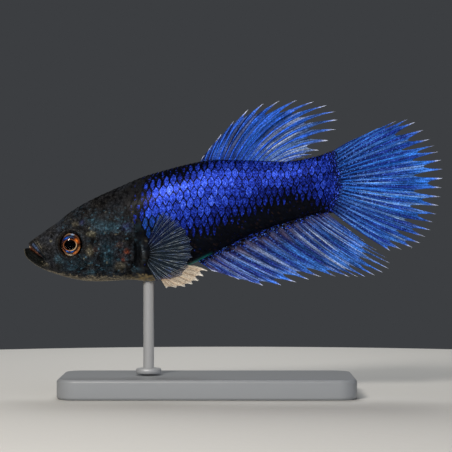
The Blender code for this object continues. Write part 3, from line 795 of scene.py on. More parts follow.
# Where the blue ends below: z at these places along the body.
BLUE_FLOOR = {
    "x": (-14.6, -12.6, -5.1, 0.9, 3.4, 6.0, 8.4, 10.2, 12.0, 14.0, 15.9),
    "z": (25.0, 22.4, 23.9, 26.5, 27.6, 28.5, 29.2, 29.0, 28.2, 27.2, 26.6),
}
# NIGHT is the ground round each scale's lens: dark pigment with painted shade between the plates
NIGHT, TEAL_BLUE = "#03040a", "#1b5f86"
BLUE_RAMP = ((0.10, "#0a1148"), (0.32, "#192d92"), (0.55, "#2b49c8"), (0.78, "#496cef"), (0.98, "#8fa8ff"))

girth_along = np.linspace(0.18, 1.0, 420)
girth_turn = np.linspace(0, np.pi, 361)
girth_grid = body_surface(*np.meshgrid(girth_along, girth_turn, indexing="ij"))
girth_x = girth_grid[:, len(girth_turn) // 2, 0]
girth_steps = np.linalg.norm(np.diff(girth_grid, axis=1), axis=-1)
girth_down = np.concatenate([np.zeros((len(girth_along), 1)), np.cumsum(girth_steps, axis=1)], axis=1)
DOWN_STEP = 0.05
down_places = np.arange(0, 20, DOWN_STEP)
turn_table = np.array([np.interp(down_places, row, girth_turn) for row in girth_down])


def flank_place(x, down):
    """The surface's own (along, turn) for a place along the body and a distance down from the back, read
    from a table of lengths round the rings, eased straight between its entries."""
    along = np.interp(x, girth_x, girth_along)
    k_place = (along - girth_along[0]) / (girth_along[1] - girth_along[0])
    k_place = np.clip(k_place, 0, len(girth_along) - 1.001)
    n_place = np.clip(down / DOWN_STEP, 0, len(down_places) - 1.001)
    k, n = k_place.astype(int), n_place.astype(int)
    f, g = k_place - k, n_place - n
    near = turn_table[k, n] * (1 - g) + turn_table[k, n + 1] * g
    far = turn_table[k + 1, n] * (1 - g) + turn_table[k + 1, n + 1] * g
    return along, near * (1 - f) + far * f


def flank_skin(x, down, lift):
    """A place on the left flank, this far above the skin."""
    return skin_surface(*flank_place(x, down), lift)


def flank_unwrap(x, down):
    """The same place on a flat unwrap of the skin: along the body, and round it."""
    along, turn = flank_place(x, down)
    return np.stack([along, turn / (2 * np.pi)], axis=-1)


def lay_plates(name, places, surface, unwrap, side, half, lift, finish, slot, tint_of, masks_of):
    """One joined mesh of closed plates, each at its (u, v) place on a surface given for the left side. A
    plate is a rounded fan; it rises in a straight line from its root to its free edge, and its sides dip.
    Its underside is a cone of faces to a point below its middle. half is half its length and height."""
    rows, columns = SCALE_GRID
    u, v = np.asarray(places).T
    a, b = np.meshgrid(np.linspace(-1, 1, rows + 1), np.linspace(-1, 1, columns + 1), indexing="ij")
    fan = 1 - SCALE_TAPER * np.abs(b) ** 2.2 * (0.5 + 0.5 * a)
    oval = np.sqrt(1 - SCALE_TAPER * a**2)
    forward = a * fan * half[:, 0][:, None, None]
    across = b * oval * half[:, 1][:, None, None]
    rise = lift[0] + (lift[1] - lift[0]) * (a + 1) / 2 - SCALE_DIP * b**2 * (a + 1) / 2
    top = surface(u[:, None, None] + forward, v[:, None, None] + across, rise)
    under = surface(u, v, lift[0] - 0.02)
    points = np.concatenate([top.reshape(len(u), -1, 3), under[:, None, :]], axis=1)
    count = points.shape[1]
    rim = grid_rim(rows + 1, columns + 1)
    start = (np.arange(len(u)) * count)[:, None, None]
    sheet = (grid_quads(rows + 1, columns + 1)[None] + start).reshape(-1, 4)
    cone = np.stack([np.full(len(rim), count - 1), rim, np.roll(rim, -1)], axis=1)
    cone = (cone[None] + start).reshape(-1, 3)
    local = np.stack([1 - a * fan, b * oval], axis=-1).reshape(-1, 2) * SCALE_HALF
    local = np.tile(np.vstack([local, SCALE_HALF]), (len(u), 1))
    spread = np.vstack([np.stack([a, b], axis=-1).reshape(-1, 2), (0.0, 0.0)]) * BAKE_PATCH / 2
    root = unwrap(u, v) * 0.98 + 0.01
    root = root if side < 0 else root * (1, -1) + (0, 1)
    maps = {"plate": local, "OFBake": (root[:, None, :] + spread).reshape(-1, 2)}
    flat = points.reshape(-1, 3)
    masks = masks_of(u, v, points[:, :-1].mean(axis=1))
    masks = {key: np.repeat(value, count) for key, value in masks.items()}
    return make_piece(
        name, flat * (1, -side, 1), [sheet, cone], finish, slot, maps=maps, tint=tint_of(flat), masks=masks
    )


def flank_masks(x, down, middle):
    """For each plate: how blue it is, how teal, and how light, with a painted sheen high on the flank."""
    chance = np.random.default_rng(5).uniform(0, 1, len(x))
    broad = mottle(middle, 2.2, 21)
    floor = np.interp(middle[:, 0], BLUE_FLOOR["x"], BLUE_FLOOR["z"])
    blue = 0.10 + 0.90 * eased(middle[:, 2] - floor + 0.5 * (chance - 0.5), -0.8, 3.0)
    blue *= eased(middle[:, 0] + 1.6 * (chance - 0.5), -16.2, -12.6)
    bare_back = np.interp(x, (-13.0, -7.0, -4.0, 0.0), (3.4, 2.4, 1.2, 0.0))
    blue *= 0.24 + 0.76 * eased(down - bare_back + 0.9 * (chance - 0.5), -0.7, 1.6)
    blue *= 0.80 + 0.20 * eased(down, 0.6, 1.9)
    teal = (0.2 + 0.5 * chance) * hump(middle[:, 0] + 12.2, 1.5) * hump(middle[:, 2] - 25.3, 1.3)
    blue *= 1 - 0.8 * teal
    light = 0.36 + 0.26 * (chance - 0.5) + 0.12 * broad - 0.28 * (1 - blue)
    light -= 0.20 * faded(middle[:, 2] - floor, 0.8, 5.0)
    # painted sheen: plates high on the flank are made lighter, most towards the front
    light += 0.14 * hump(middle[:, 2] - 30.0, 3.6) * (0.35 + 0.65 * hump(middle[:, 0] + 10.0, 8.0))
    return {"blue": blue, "teal": teal, "light": np.clip(light, 0.14, 1)}


def scale_bone():
    """Scales in wet clear skin: each has a lens of blue crystals, pointed above and below, edged with dark
    skin and painted shade. Its blue breaks up into painted upright glints about 0.12 mm across, under a
    clear glossy coat."""
    finish, node, shader = wet_finish("iridescent scales", 0.4, 1.45, 0.04, 0.01, 0.15)
    masks = ("blue", "teal", "light")
    blue, teal, light = (node("Attribute", attribute_name=key, out="Fac") for key in masks)
    place, plate = node("TexCoord", out="Object"), node("UVMap", uv_map="plate")
    wobble = node("TexNoise", place, 1 / (0.30 * MM), out="Color")
    shift = node("VectorMath MULTIPLY_ADD", wobble, (0.30, 0.36, 0), (-0.15, -0.18, 0))
    split = node("SeparateXYZ", node("VectorMath ADD", plate, shift)).node.outputs
    along = node("Math ABSOLUTE", node("Math SUBTRACT", split[0], 0.53))
    along = node("Math DIVIDE", along, node("Math MULTIPLY_ADD", blue, 0.42, 0.12))
    across = node("Math DIVIDE", node("Math ABSOLUTE", split[1]), 0.99)
    far = node("Math ADD", along, node("Math POWER", across, 1.8))
    lens = node("MapRange", far, 1.02, 0.80, interpolation_type="SMOOTHSTEP")
    upright = node("Mapping", place, Scale=(1.0, 1.0, 0.6))
    # painted glints: light spots in the blue, which also drive its bumps
    glint = node("TexNoise", upright, 1 / (0.15 * MM), 3.0, 0.65)
    patch = node("TexNoise", place, 1 / (0.34 * MM), 3.0)
    patchy = node("Math MULTIPLY_ADD", blue, 3.2, -2.2)
    patchy = node("Math MULTIPLY_ADD", patch, 3.0, patchy)
    patchy = node("Clamp", node("Math MULTIPLY", patchy, 2.2))
    share = node("Math MULTIPLY", lens, patchy)
    level = node("Math ADD", node("Math MULTIPLY_ADD", glint, 1.9, -0.95), light)
    level = node("Math MULTIPLY_ADD", node("Math SUBTRACT", patch, 0.5), 0.8, level)
    ramp = node("ValToRGB", level)
    stops = ramp.node.color_ramp.elements
    stops.remove(stops[1])
    stops[0].position, stops[0].color = BLUE_RAMP[0][0], rgba(BLUE_RAMP[0][1])
    for position, colour in BLUE_RAMP[1:]:
        stops.new(position).color = rgba(colour)
    film = node("Mix RGBA", teal, ramp, rgba(TEAL_BLUE))
    # dark pigment with painted shade round the lenses of blue plates
    night = node("Math MULTIPLY", node("Math MINIMUM", blue, 0.5), 1.7)
    ground = node("Mix RGBA", night, node("Attribute", attribute_name="tint"), rgba(NIGHT))
    feed(shader["Base Color"], node("Mix RGBA", share, ground, film))
    feed(shader["Metallic"], node("Math MULTIPLY", share, 0.25))
    bump_from(node, shader, glint, 0.03)
    return finish


def lattice(rows, columns, pitch, start):
    """Staggered places: rows a pitch apart, each with its plates a pitch apart, and every second row
    shifted by half a pitch."""
    row, column = np.meshgrid(np.arange(rows), np.arange(columns), indexing="ij")
    return start[0] + pitch[0] * (column + 0.5 * (row % 2)).ravel(), start[1] + pitch[1] * row.ravel()


def flank_lattice():
    """Rows down from the back to the belly, from behind the gill cover to the tail: two narrow ones along
    the back, then full ones, which draw together towards the tail. Its root has small plates. Each varies a
    little at random."""
    rng = np.random.default_rng(8)
    found, halves = [], []
    # Rows, plates in each, their pitch, the first place (x, down), and the x between which they are kept.
    for rows, columns, pitch, start, first_x, last_x in (
        (2, 48, (0.70, 0.85), (-16.2, 0.30), -17.0, 14.0),
        (15, 32, SCALE_PITCH, (-16.2, 1.95), -17.0, 13.9),
        (19, 5, (0.50, 0.60), (14.95, 0.20), 13.6, 15.2),
    ):
        x, down = lattice(rows, columns, pitch, start)
        shrink = 1 - 0.16 * eased(x, -2.0, 14.0)
        x, down = x - 0.0045 * np.clip(x + 2, 0, None) ** 2, down * shrink
        along = np.interp(x, girth_x, girth_along)
        half_girth = np.interp(along, girth_along, girth_down[:, -1])
        middle = body_surface(*flank_place(x, down))
        behind_gill = gill_place(middle[:, 0], middle[:, 2]) > 1.45
        keep = (x > first_x) & (x < last_x) & (down < half_girth + 0.1) & behind_gill
        places = np.stack([x, down], axis=1)[keep]
        size = np.array(pitch) / SCALE_PITCH * shrink[keep][:, None]
        found.append(places + rng.uniform(-1, 1, places.shape) * (0.05, 0.06) * size)
        halves.append(SCALE_HALF * size * rng.uniform(0.95, 1.05, places.shape))
    return np.concatenate(found), np.concatenate(halves)


scale_finish = scale_bone()
scale_places, scale_half = flank_lattice()
for side, word in SIDES:
    lay_plates(
        f"flank_scales_{word}", scale_places, flank_skin, flank_unwrap, side, scale_half, SCALE_LIFT,
        scale_finish, "flank_scales", hide_tint, flank_masks,
    )

# ------------------------------
# Scales of the head: smaller, thinner and sunk in the skin, over the nape, the cheek and the gill cover.
# The snout, the lips and the folds round the eye are bare.
# ------------------------------

HEAD_PITCH = 0.80, 1.08
HEAD_HALF = 0.74, 0.76
HEAD_LIFT = -0.035, 0.055


def head_lattice():
    """Places of the small plates in staggered rows, clear of the eye, the mouth and the gill slit."""
    x, down = lattice(16, 20, HEAD_PITCH, (-26.6, 0.30))
    middle = body_surface(*flank_place(x, down))
    mid_x, mid_z = middle[:, 0], middle[:, 2]
    rim = gill_place(mid_x, mid_z)
    slit = (rim > 0.84) & (rim < 1.50) & (mid_x > GILL_CENTRE[0] - 0.5) & (mid_z < 23.6)
    bare = (mid_x < -24.3) & (mid_z < 24.5) | (mid_x < -25.6) | (mid_z < 18.4) | (mid_x > -14.2)
    keep = (socket_place(mid_x, mid_z) > 1.62) & ~slit & ~bare
    rng = np.random.default_rng(9)
    places = np.stack([x, down], axis=1)[keep]
    places += rng.uniform(-1, 1, places.shape) * 0.07
    return places, HEAD_HALF * rng.uniform(0.9, 1.08, places.shape)


def head_masks(x, down, middle):
    """A few flecks of blue near the flank and of teal over the gill cover."""
    chance = np.random.default_rng(15).uniform(0, 1, len(x))
    blue = 0.30 * eased(middle[:, 0], -17.5, -14.5) * eased(middle[:, 2], 23.5, 26.0)
    blue += 0.20 * hump(middle[:, 0] + 18.4, 1.6) * (chance > 0.35)
    teal = hump(middle[:, 0] + 18.4, 2.4) * faded(middle[:, 2], 26, 28)
    return {"blue": blue, "teal": teal, "light": 0.30 + 0.2 * chance}


def sunk_scales():
    """Small scales under wet charcoal skin: their rims show as dark lines."""
    finish, node, shader = wet_finish("sunken head scales", 0.55, 1.38, 0.04, 0.01, 0.25)
    rim = node("MapRange", node("SeparateXYZ", node("UVMap", uv_map="plate")), 0.03, 0.25, 0.45, 1.05)
    shade, grain = speckled(node, node("Attribute", attribute_name="tint"))
    feed(shader["Base Color"], node("VectorMath SCALE", shade, rim))
    bump_from(node, shader, grain, 0.02)
    return finish


head_finish = sunk_scales()
head_places, head_half = head_lattice()
for side, word in SIDES:
    lay_plates(
        f"head_scales_{word}", head_places, flank_skin, flank_unwrap, side, head_half, HEAD_LIFT,
        head_finish, "head_skin", hide_tint, head_masks,
    )

# ------------------------------
# Fins of the midline: bony rays, jointed and forked, joined by a thin web that falls short of their tips.
# Each ray ends in a pale spike, and rows of small scales climb the roots of the tail and anal fins.
# ------------------------------

# base and tips are guide points (x, z), evenly spaced from the first ray to the last. bend bows each
# ray; web is how far along it the skin reaches, in notches that jag makes deeper and shallower by turns,
# and notch is where between two rays the web is lowest; wave ripples the margin.
DORSAL_FIN = {
    "rays": 17,
    "base": ((-5.4, 34.2), (-1.6, 34.2), (2.4, 34.2), (6.2, 34.1)),
    "tips": (
        (-4.7, 35.7), (-1.9, 39.2), (2.2, 42.9), (6.9, 44.2), (12.0, 44.0),
        (15.2, 42.5), (15.3, 39.8), (12.8, 36.7), (10.7, 35.7),
    ),
    "bend": (0.02, 0.06, 0.10, 0.10, 0.05),
    "web": (0.93, 0.86, 0.80, 0.76, 0.72, 0.69, 0.67, 0.76, 0.82),
    "notch": 0.32,
    "jag": 0.01,
    "wave": 0.55,
}
ANAL_FIN = {
    "rays": 19,
    "base": (
        (-6.2, 20.6), (-2.8, 22.3), (3.8, 25.2), (8.3, 26.9),
        (10.9, 27.7), (13.0, 28.2),
    ),
    "tips": (
        (-3.2, 18.6), (4.4, 16.4), (9.4, 16.9), (13.1, 17.7), (17.4, 17.7),
        (19.8, 17.7), (22.5, 18.3), (23.6, 19.7), (21.5, 21.7), (17.5, 24.6),
    ),
    "bend": (0.0, -0.03, -0.04, -0.03, -0.02),
    "web": (0.95, 0.87, 0.79, 0.80, 0.83, 0.80, 0.74, 0.68, 0.78, 0.90),
    "notch": 0.36,
    "jag": 0.02,
    "wave": -0.6,
}
TAIL_FIN = {
    "rays": 23,
    "base": (
        (13.9, 36.0), (14.7, 34.2), (15.1, 32.6), (15.2, 31.2),
        (14.8, 29.6), (14.0, 28.0),
    ),
    "tips": (
        (18.4, 38.6), (24.5, 41.2), (27.3, 41.0), (29.5, 38.4), (30.7, 36.5),
        (31.4, 33.9), (31.1, 31.1), (30.7, 28.4), (29.9, 25.9), (28.8, 23.7),
        (26.8, 22.1), (23.5, 21.6),
    ),
    "bend": (0.02, 0.02, 0.0, -0.02, -0.02),
    "web": (0.88, 0.78, 0.77, 0.78, 0.79, 0.79, 0.84),
    "notch": 0.5,
    "jag": 0.055,
    "wave": 0.8,
}
COLUMNS_PER_RAY = 16
FIN_ROWS = 84
RAY_RADIUS = 0.13  # at its root
WEB_HALF = 0.035
RAY_FORK = 0.15  # how far each branch of a ray moves off, as a share of the spacing
ROOT_SWELL = 0.22  # added to half the thickness where the fin leaves the body
FIN_FOLD = 0.26  # how far the web swings from side to side between rays at the margin


def fin_margin(fin, place):
    """How far out the fin reaches: 1 at a ray's tip, and down in a U to the web between rays. Where the rays
    sweep back, the notch lies close behind each, and the web climbs in a long curve to the next."""
    share = place - np.floor(place)
    behind = share < fin["notch"]
    off = 0.5 * np.where(behind, share / fin["notch"], (1 - share) / (1 - fin["notch"]))
    web = along_fan(fin, np.array(fin["web"])[:, None], place)[..., 0]
    web += fin["jag"] * np.where(np.floor(place) % 2 == 0, -1, 1) + 0.025 * by_ray(fin, np.floor(place), 31)
    fall = np.sin(np.pi / 2 * np.clip((off - 0.03) / 0.47, 0, 1) ** 0.75)
    return 1 - (1 - web) * fall


def along_fan(fin, rows, place):
    """Rows of values, evenly spaced from the first ray to the last, drawn as a smooth line. A row (x, z) is
    a place on the midline."""
    rows = np.asarray(rows, float)
    if rows.shape[1] == 2:
        rows = np.insert(rows, 1, 0.0, axis=1)
    return smooth_line(rows, fan_share(fin, place))


def fan_share(fin, place):
    """How far across the fan a place lies: 0 at the first ray, 1 at the last."""
    return place / (fin["rays"] - 1)


def off_ray(place):
    """How far a place lies from the nearest ray, as a share of the spacing: up to a half."""
    return np.abs(place - np.round(place))


def ray_length(fin, place):
    """Length of the rays from base to tip, in mm."""
    return np.linalg.norm(along_fan(fin, fin["tips"], place) - along_fan(fin, fin["base"], place), axis=-1)


def by_ray(fin, place, seed):
    """A random value of -1 to 1 for the nearest ray."""
    return np.random.default_rng(seed).uniform(-1, 1, fin["rays"] + 1)[np.round(place).astype(int)]


def fin_sheet(fin, place, height):
    """The middle of the fin: each ray is a bowed line from its base to its tip, and the sheet ripples
    sideways and folds between rays. Also gives how far out each point lies, as a share of its ray."""
    base = along_fan(fin, fin["base"], place)
    along = along_fan(fin, fin["tips"], place) - base
    bend = along_fan(fin, np.array(fin["bend"])[:, None], place)
    bow = np.stack([-along[..., 2], np.zeros(place.shape), along[..., 0]], axis=-1) * bend
    t = height * fin_margin(fin, place)
    sheet = base + along * t[..., None] + bow * (4 * t * (1 - t))[..., None]
    sheet[..., 1] += fin["wave"] * np.sin(2.1 * np.pi * fan_share(fin, place) + 0.6) * t**1.5
    between = off_ray(place) * 2
    swing = np.where(np.floor(place) % 2 == 0, 1, -1) * between**1.3
    sheet[..., 1] += FIN_FOLD * swing * t * faded(t, 0.9, 1.0) * fin.get("fold", 1.0)
    return sheet, t


def fin_half(place, t, height):
    """Half the thickness: a thin web, a round ray that thins outwards and forks beyond its middle, a swell
    at the root, and a rim that closes to nothing."""
    off = off_ray(place)
    fork = RAY_FORK * eased(t, 0.35, 0.75) * faded(t, 0.80, 0.97)
    ray = hump(off - fork, 0.09 + 0.05 * eased(t, 0.8, 1.0))
    half = WEB_HALF + RAY_RADIUS * (1 - 0.62 * t) * ray + ROOT_SWELL * np.clip(1 - t / 0.16, 0, 1) ** 2
    return half * np.sqrt(np.clip(1 - height**12, 0.01, 1))


def weave_fin(name, fin, side, finish, slot, tint_of, masks_of=None):
    """A closed sheet on a grid of places across the fan and heights out from its base, with its thickness
    to both sides and a rim. Its UVs count rays across and millimetres outwards."""
    place = np.linspace(0, fin["rays"] - 1, (fin["rays"] - 1) * COLUMNS_PER_RAY + 1)
    height = np.linspace(0, 1, FIN_ROWS)
    height, place = np.meshgrid(height, place, indexing="ij")
    sheet, t = fin_sheet(fin, place, height)
    half = fin_half(place, t, height)
    points = np.concatenate([sheet - half[..., None] * (0, 1, 0), sheet + half[..., None] * (0, 1, 0)])
    points = points.reshape(-1, 3) * (1, side, 1)
    rows, columns = place.shape
    quads = grid_quads(rows, columns)
    rim = grid_rim(rows, columns)
    after = np.roll(rim, -1)
    strip = np.stack([rim, rim + rows * columns, after + rows * columns, after], axis=1)
    faces = [quads, (quads + rows * columns)[:, ::-1], strip]
    out = t * ray_length(fin, place)
    uv = np.stack([place, out], axis=-1).reshape(-1, 2)
    tint = tint_of(fin, place, t, out, sheet).reshape(-1, 3)
    masks = masks_of(fin, place, t, out) if masks_of else {}
    masks = {key: np.tile(mask.ravel(), 2) for key, mask in masks.items()}
    maps = {"ray": np.tile(uv, (2, 1))}
    return make_piece(name, points, faces, finish, slot, maps=maps, tint=np.tile(tint, (2, 1)), masks=masks)


def fibre(place, out, across, along, seed):
    """Streaks that run with the rays: smooth noise, fine across them (in rays) and long along them (mm)."""
    return mottle(np.stack([place / across, out / along, np.full(place.shape, 0.5)], axis=-1), 1.0, seed)


def ray_core(fin, place, t, out):
    """How far the core of a ray shows: it forks and fades on its way out, and differs from ray to ray."""
    width = fin["core_width"] * (1 + 0.40 * by_ray(fin, place, 46)) * (1 - 0.45 * t)
    off = off_ray(place) + 0.03 * fibre(place, out, 0.5, 2.0, 47)
    fork = fin["core_fork"] * eased(t, fin["fork_from"], fin["fork_from"] + 0.45)
    end = fin["core_end"] + 0.14 * by_ray(fin, place, 48)
    return faded(np.abs(off - fork), 0.7 * width, 1.35 * width) * faded(t, end - 0.3, end)


def blue_fin_tint(fin, place, t, out, sheet):
    """Web of azure and steel blue; rays with dark cores that turn bluer and fade outwards, each with a
    fine black line along one side; pale streaks; a painted highlight and painted shade along the folds of
    the web midway between rays; and spikes with white ends."""
    shift, between = place - np.round(place), np.floor(place)
    off = np.abs(shift)
    to_tip = np.where(t > 0, out / np.maximum(t, 1e-3), 99.0) - out
    coarse, fine = fibre(place, out, 0.36, 6.0, 41), fibre(place, out, 0.12, 3.5, 42)
    broad = mottle(sheet, 2.6, 43)
    azure = np.clip(0.35 + 0.9 * coarse + 0.5 * broad + 0.35 * by_ray(fin, between, 49), 0, 1)
    web = along_fan(fin, [linear(colour) for colour in fin["web_colours"]], place)
    tint = blend_to(web, (fin["bright"], azure * (0.3 + 0.7 * eased(t, 0.05, 0.5))))
    tint *= np.clip(1 + fin["streak"] * fine + 0.35 * broad, 0.2, 2)[..., None]
    # painted highlight along the fold of the web midway between two rays, on some of the gaps
    band = hump(off - 0.5 + 0.14 * coarse, 0.15) * eased(by_ray(fin, between, 52), -0.35, 0.25)
    band *= fin["band"] * (0.8 + 0.5 * coarse + 0.4 * fine)
    pale = 0.7 * eased(fibre(place, out, 0.24, 6.0, 44) + 0.3 * fine, 0.10, 0.45)
    pale = np.clip(pale + band, 0, 1) * eased(t, 0.10, 0.3) * faded(t, 0.85, 0.97)
    shares = fin["pale_share"]
    pale *= np.interp(fan_share(fin, place), np.linspace(0, 1, len(shares)), shares)
    mauve = fin["mauve"] * faded(out + 1.2 * coarse, 1.5, 5.5) * (1 - 0.7 * eased(fine, 0.2, 0.5))
    tint = blend_to(tint, (fin["pale"], 0.9 * pale), ("#443842", mauve))
    core = blend_to(np.ones(tint.shape) * linear(fin["core"]), (fin["core_out"], eased(t, 0.1, 0.6)))
    tint += (core - tint) * (0.9 * ray_core(fin, place, t, out))[..., None]
    edge = shift * np.sign(by_ray(fin, place, 51)) - 1.15 * fin["core_width"] * (1 - 0.45 * t)
    root = faded(out + 0.25 * coarse, fin["root_reach"] * 0.6, fin["root_reach"] * 1.4)
    # painted shade along the same folds, in patches
    fold_shade = hump(off - 0.5, 0.05) * eased(t, 0.3, 0.6) * (fibre(place, out, 1.0, 5.0, 45) > 0.0)
    tip = faded(to_tip + 0.3 * by_ray(fin, place, 50), 0.15, 1.2)
    return blend_to(
        tint,
        (fin["core_edge"], 0.85 * hump(edge, 0.035) * faded(t, 0.6, 0.85)),
        (fin["root"], fin["root_share"] * root * (1 - 0.5 * (fine > 0.25))),
        ("#0f1648", 0.7 * fold_shade),
        ("#3f6fd8", 0.6 * eased(t, 0.80, 0.92) * (off < 0.3)),
        ("#cfd3da", 0.85 * tip * (off < 0.3)),
    )


def blue_specks(fin, place, t, out):
    """Where light dots of crystal lie, on the dark cores and thickly on the scaled root, and where the
    rays' joints show as ladder lines."""
    root = faded(out, fin["root_reach"] * 0.7, fin["root_reach"] * 1.6)
    dots = 0.85 * ray_core(fin, place, t, out) * fin["speck"] * (1 - 0.5 * eased(t, 0.4, 0.8))
    specks = np.clip(dots + 0.8 * root * fin["root_share"], 0, 1)
    return {"speck": specks, "rung": np.full(place.shape, fin["rung"])}


def fin_skin(name, contrast=1.0):
    """Fin web in wet skin, with a grain of about 0.2 mm. The rays' joints draw fine ladder lines 0.3 mm
    apart across them, and where the speck mask is set, crystals lie in light dots about 0.2 mm across."""
    finish, node, shader = wet_finish(name, 0.5, 1.4, 0.05, 0.02, 0.2, metallic=0.08)
    speck, ladder = (node("Attribute", attribute_name=key, out="Fac") for key in ("speck", "rung"))
    place, ray = node("TexCoord", out="Object"), node("UVMap", uv_map="ray")
    fibres = node("TexNoise", node("Mapping", ray, Scale=(6.5, 0.45, 1.0)), 1.0, 3.0, 0.65)
    rungs = node("SeparateXYZ", node("Mapping", ray, Scale=(0.0, 1 / 0.3, 1.0)), out=1)
    rungs = node("Math MULTIPLY_ADD", fibres, 2.2, rungs)
    rung = node("MapRange", node("Math PINGPONG", rungs, 0.5), 0.05, 0.4, -1.0, 1.0)
    rung = node("Math MULTIPLY_ADD", rung, ladder, 1.0)
    grain = node("MapRange", node("TexNoise", place, 1 / (0.22 * MM)), 0.35, 0.65, 0.60, 1.45)
    thread = node("Math MULTIPLY_ADD", fibres, 0.7, node("SeparateXYZ", ray))
    thread = node("MapRange", node("Math PINGPONG", thread, 0.16), 0.02, 0.08, 0.50, 1.10)
    level = node("MapRange", fibres, 0.30, 0.70, 0.40, 1.60)
    for other in (rung, grain, thread):
        level = node("Math MULTIPLY", level, other)
    level = node("Math MULTIPLY_ADD", level, contrast, 1 - contrast)
    shade = node("VectorMath SCALE", node("Attribute", attribute_name="tint"), level)
    cells = node("TexVoronoi", place, 1 / (0.27 * MM)).node.outputs
    dot = node("MapRange", cells["Distance"], 0.46, 0.20)
    lit = node("MapRange", node("SeparateXYZ", cells["Color"]), 0.35, 0.75, 0.1)
    for other in (lit, speck):
        dot = node("Math MULTIPLY", dot, other)
    feed(shader["Base Color"], node("Mix RGBA", dot, shade, rgba("#5c8cf6")))
    bump_from(node, shader, fibres, 0.03)
    return finish


# The web's colours from the first ray to the last, and the share of pale streaks in it.
DORSAL_FIN |= {
    "web_colours": ("#0e1c50", "#12255c", "#1a3674", "#284884", "#5874a2", "#93a8c6"),
    "pale_share": (0.0, 0.08, 0.32, 0.60, 0.95, 1.0),
}
ANAL_FIN |= {
    "web_colours": ("#33469a", "#2c4690", "#23407c", "#2a4f94", "#2c5aa8", "#2a4c9c"),
    "pale_share": (0.30, 0.45, 0.65, 0.80, 0.75, 0.35),
}
TAIL_FIN |= {
    "web_colours": ("#22468c", "#1c4c9c", "#1a4ea4", "#1d4e9e", "#25458a", "#273c7a"),
    "pale_share": (0.1, 0.15, 0.4, 0.6, 0.7, 0.3),
}
MIDLINE_FINS = {"dorsal_fin": DORSAL_FIN, "anal_fin": ANAL_FIN, "tail_fin": TAIL_FIN}
# Their further looks, for the dorsal, anal and tail fin.
FIN_LOOKS = {
    "bright": ("#2458b6", "#3f78d0", "#3472cc"),  # azure in the web
    "pale": ("#9ea9ba", "#a2aebf", "#9ec0d8"),
    "streak": (0.5, 0.6, 0.35),
    "band": (0.9, 1.0, 0.5),  # of painted highlight along the fold of the web between two rays
    "mauve": (0.12, 0.85, 0.0),  # near the root
    "core": ("#2a5ee0", "#101444", "#0c1040"),  # of a ray, near its root and further out
    "core_out": ("#2f66dc", "#1e2a78", "#1b2c82"),
    "core_width": (0.12, 0.17, 0.28),
    "core_end": (0.95, 0.85, 0.96),
    "core_fork": (0.12, 0.14, 0.12),
    "fork_from": (0.35, 0.35, 0.55),
    "core_edge": ("#0f0c34", "#0b0d30", "#060a2c"),
    "root": ("#10194a", "#15110f", "#0d1445"),
    "root_share": (0.5, 0.95, 0.95),
    "root_reach": (0.9, 1.6, 1.1),
    "speck": (0.35, 0.6, 1.0),
    "rung": (0.15, 0.22, 0.06),
}
midline_finish = fin_skin("blue fin web")
for k, (name, fin) in enumerate(MIDLINE_FINS.items()):
    fin |= {look: values[k] for look, values in FIN_LOOKS.items()}
    web = weave_fin(f"{name}_web", fin, 1, midline_finish, "fin_blue", blue_fin_tint, blue_specks)
    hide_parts(name)


def fin_root(fin, side):
    """A face of the fin for laying plates: u is mm out from its base, v is mm across it from the first ray.
    It also gives the distance between two rays at their bases."""
    base_line = along_fan(fin, fin["base"], np.linspace(0, fin["rays"] - 1, 99))
    spacing = np.linalg.norm(np.diff(base_line, axis=0), axis=1).sum() / (fin["rays"] - 1)

    def face(u, v, lift):
        """A place this far above the fin's side."""
        u, v, lift = np.broadcast_arrays(u, v, lift)
        place = np.clip(v / spacing, 0, fin["rays"] - 1)
        height = np.clip(u / ray_length(fin, place), 0, 1) / fin_margin(fin, place)
        sheet, t = fin_sheet(fin, place, height)
        y = -side * sheet[..., 1] - fin_half(place, t, height) - lift
        return np.stack([sheet[..., 0], y, sheet[..., 2]], axis=-1)

    return face, spacing


def root_masks(reach, share):
    """Plates of a fin's root, blue by chance, and fewer of them further out."""

    def masks_of(u, v, middle):
        """For each plate, as on the flank."""
        chance = np.random.default_rng(17).uniform(0, 1, len(u))
        blue = eased(chance, 1 - share - 0.25, 1 - share + 0.25) * (1 - 0.5 * eased(u, 0.6 * reach, reach))
        return {"blue": 0.25 + 0.6 * blue, "teal": 0 * blue, "light": 0.25 + 0.35 * chance}

    return masks_of


# Small plates on the roots of the tail and anal fins: half size, how far out they reach, share of blue
# ones, ground colour.
ROOT_PITCH = 0.36, 0.42
ROOT_PLATES = {
    "tail": (TAIL_FIN, (0.32, 0.26), 0.8, 0.50, "#0d1240"),
    "anal": (ANAL_FIN, (0.26, 0.22), 1.9, 0.35, "#14100e"),
}
for name, (fin, half, reach, share, ground) in ROOT_PLATES.items():
    for side, word in SIDES:
        face, spacing = fin_root(fin, side)
        width = spacing * (fin["rays"] - 1)
        u, v = lattice(int(width / ROOT_PITCH[1]) + 1, int(reach / ROOT_PITCH[0]) + 1, ROOT_PITCH, (0.0, 0.0))
        chance = np.random.default_rng(19).uniform(0, 1, (3, len(u)))
        keep = (u < reach * (0.35 + 0.65 * chance[0])) & (v < width)
        places = (np.stack([u, v], axis=1) + 0.16 * (chance[1:].T - 0.5) * ROOT_PITCH)[keep]
        lay_plates(
            f"{name}_root_scales_{word}", places, face,
            lambda u, v, reach=reach, width=width: np.stack([u / (2 * reach), 0.45 * v / width], axis=-1),
            side, half * np.ones((len(places), 1)), (-0.03, 0.06), scale_finish, "flank_scales",
            lambda points, ground=ground: np.ones(points.shape) * linear(ground), root_masks(reach, share),
        )

# ------------------------------
# Pectoral fins: a clear smoky web on eleven fine pale rays, rooted in a fleshy pad behind the gills.
# ------------------------------

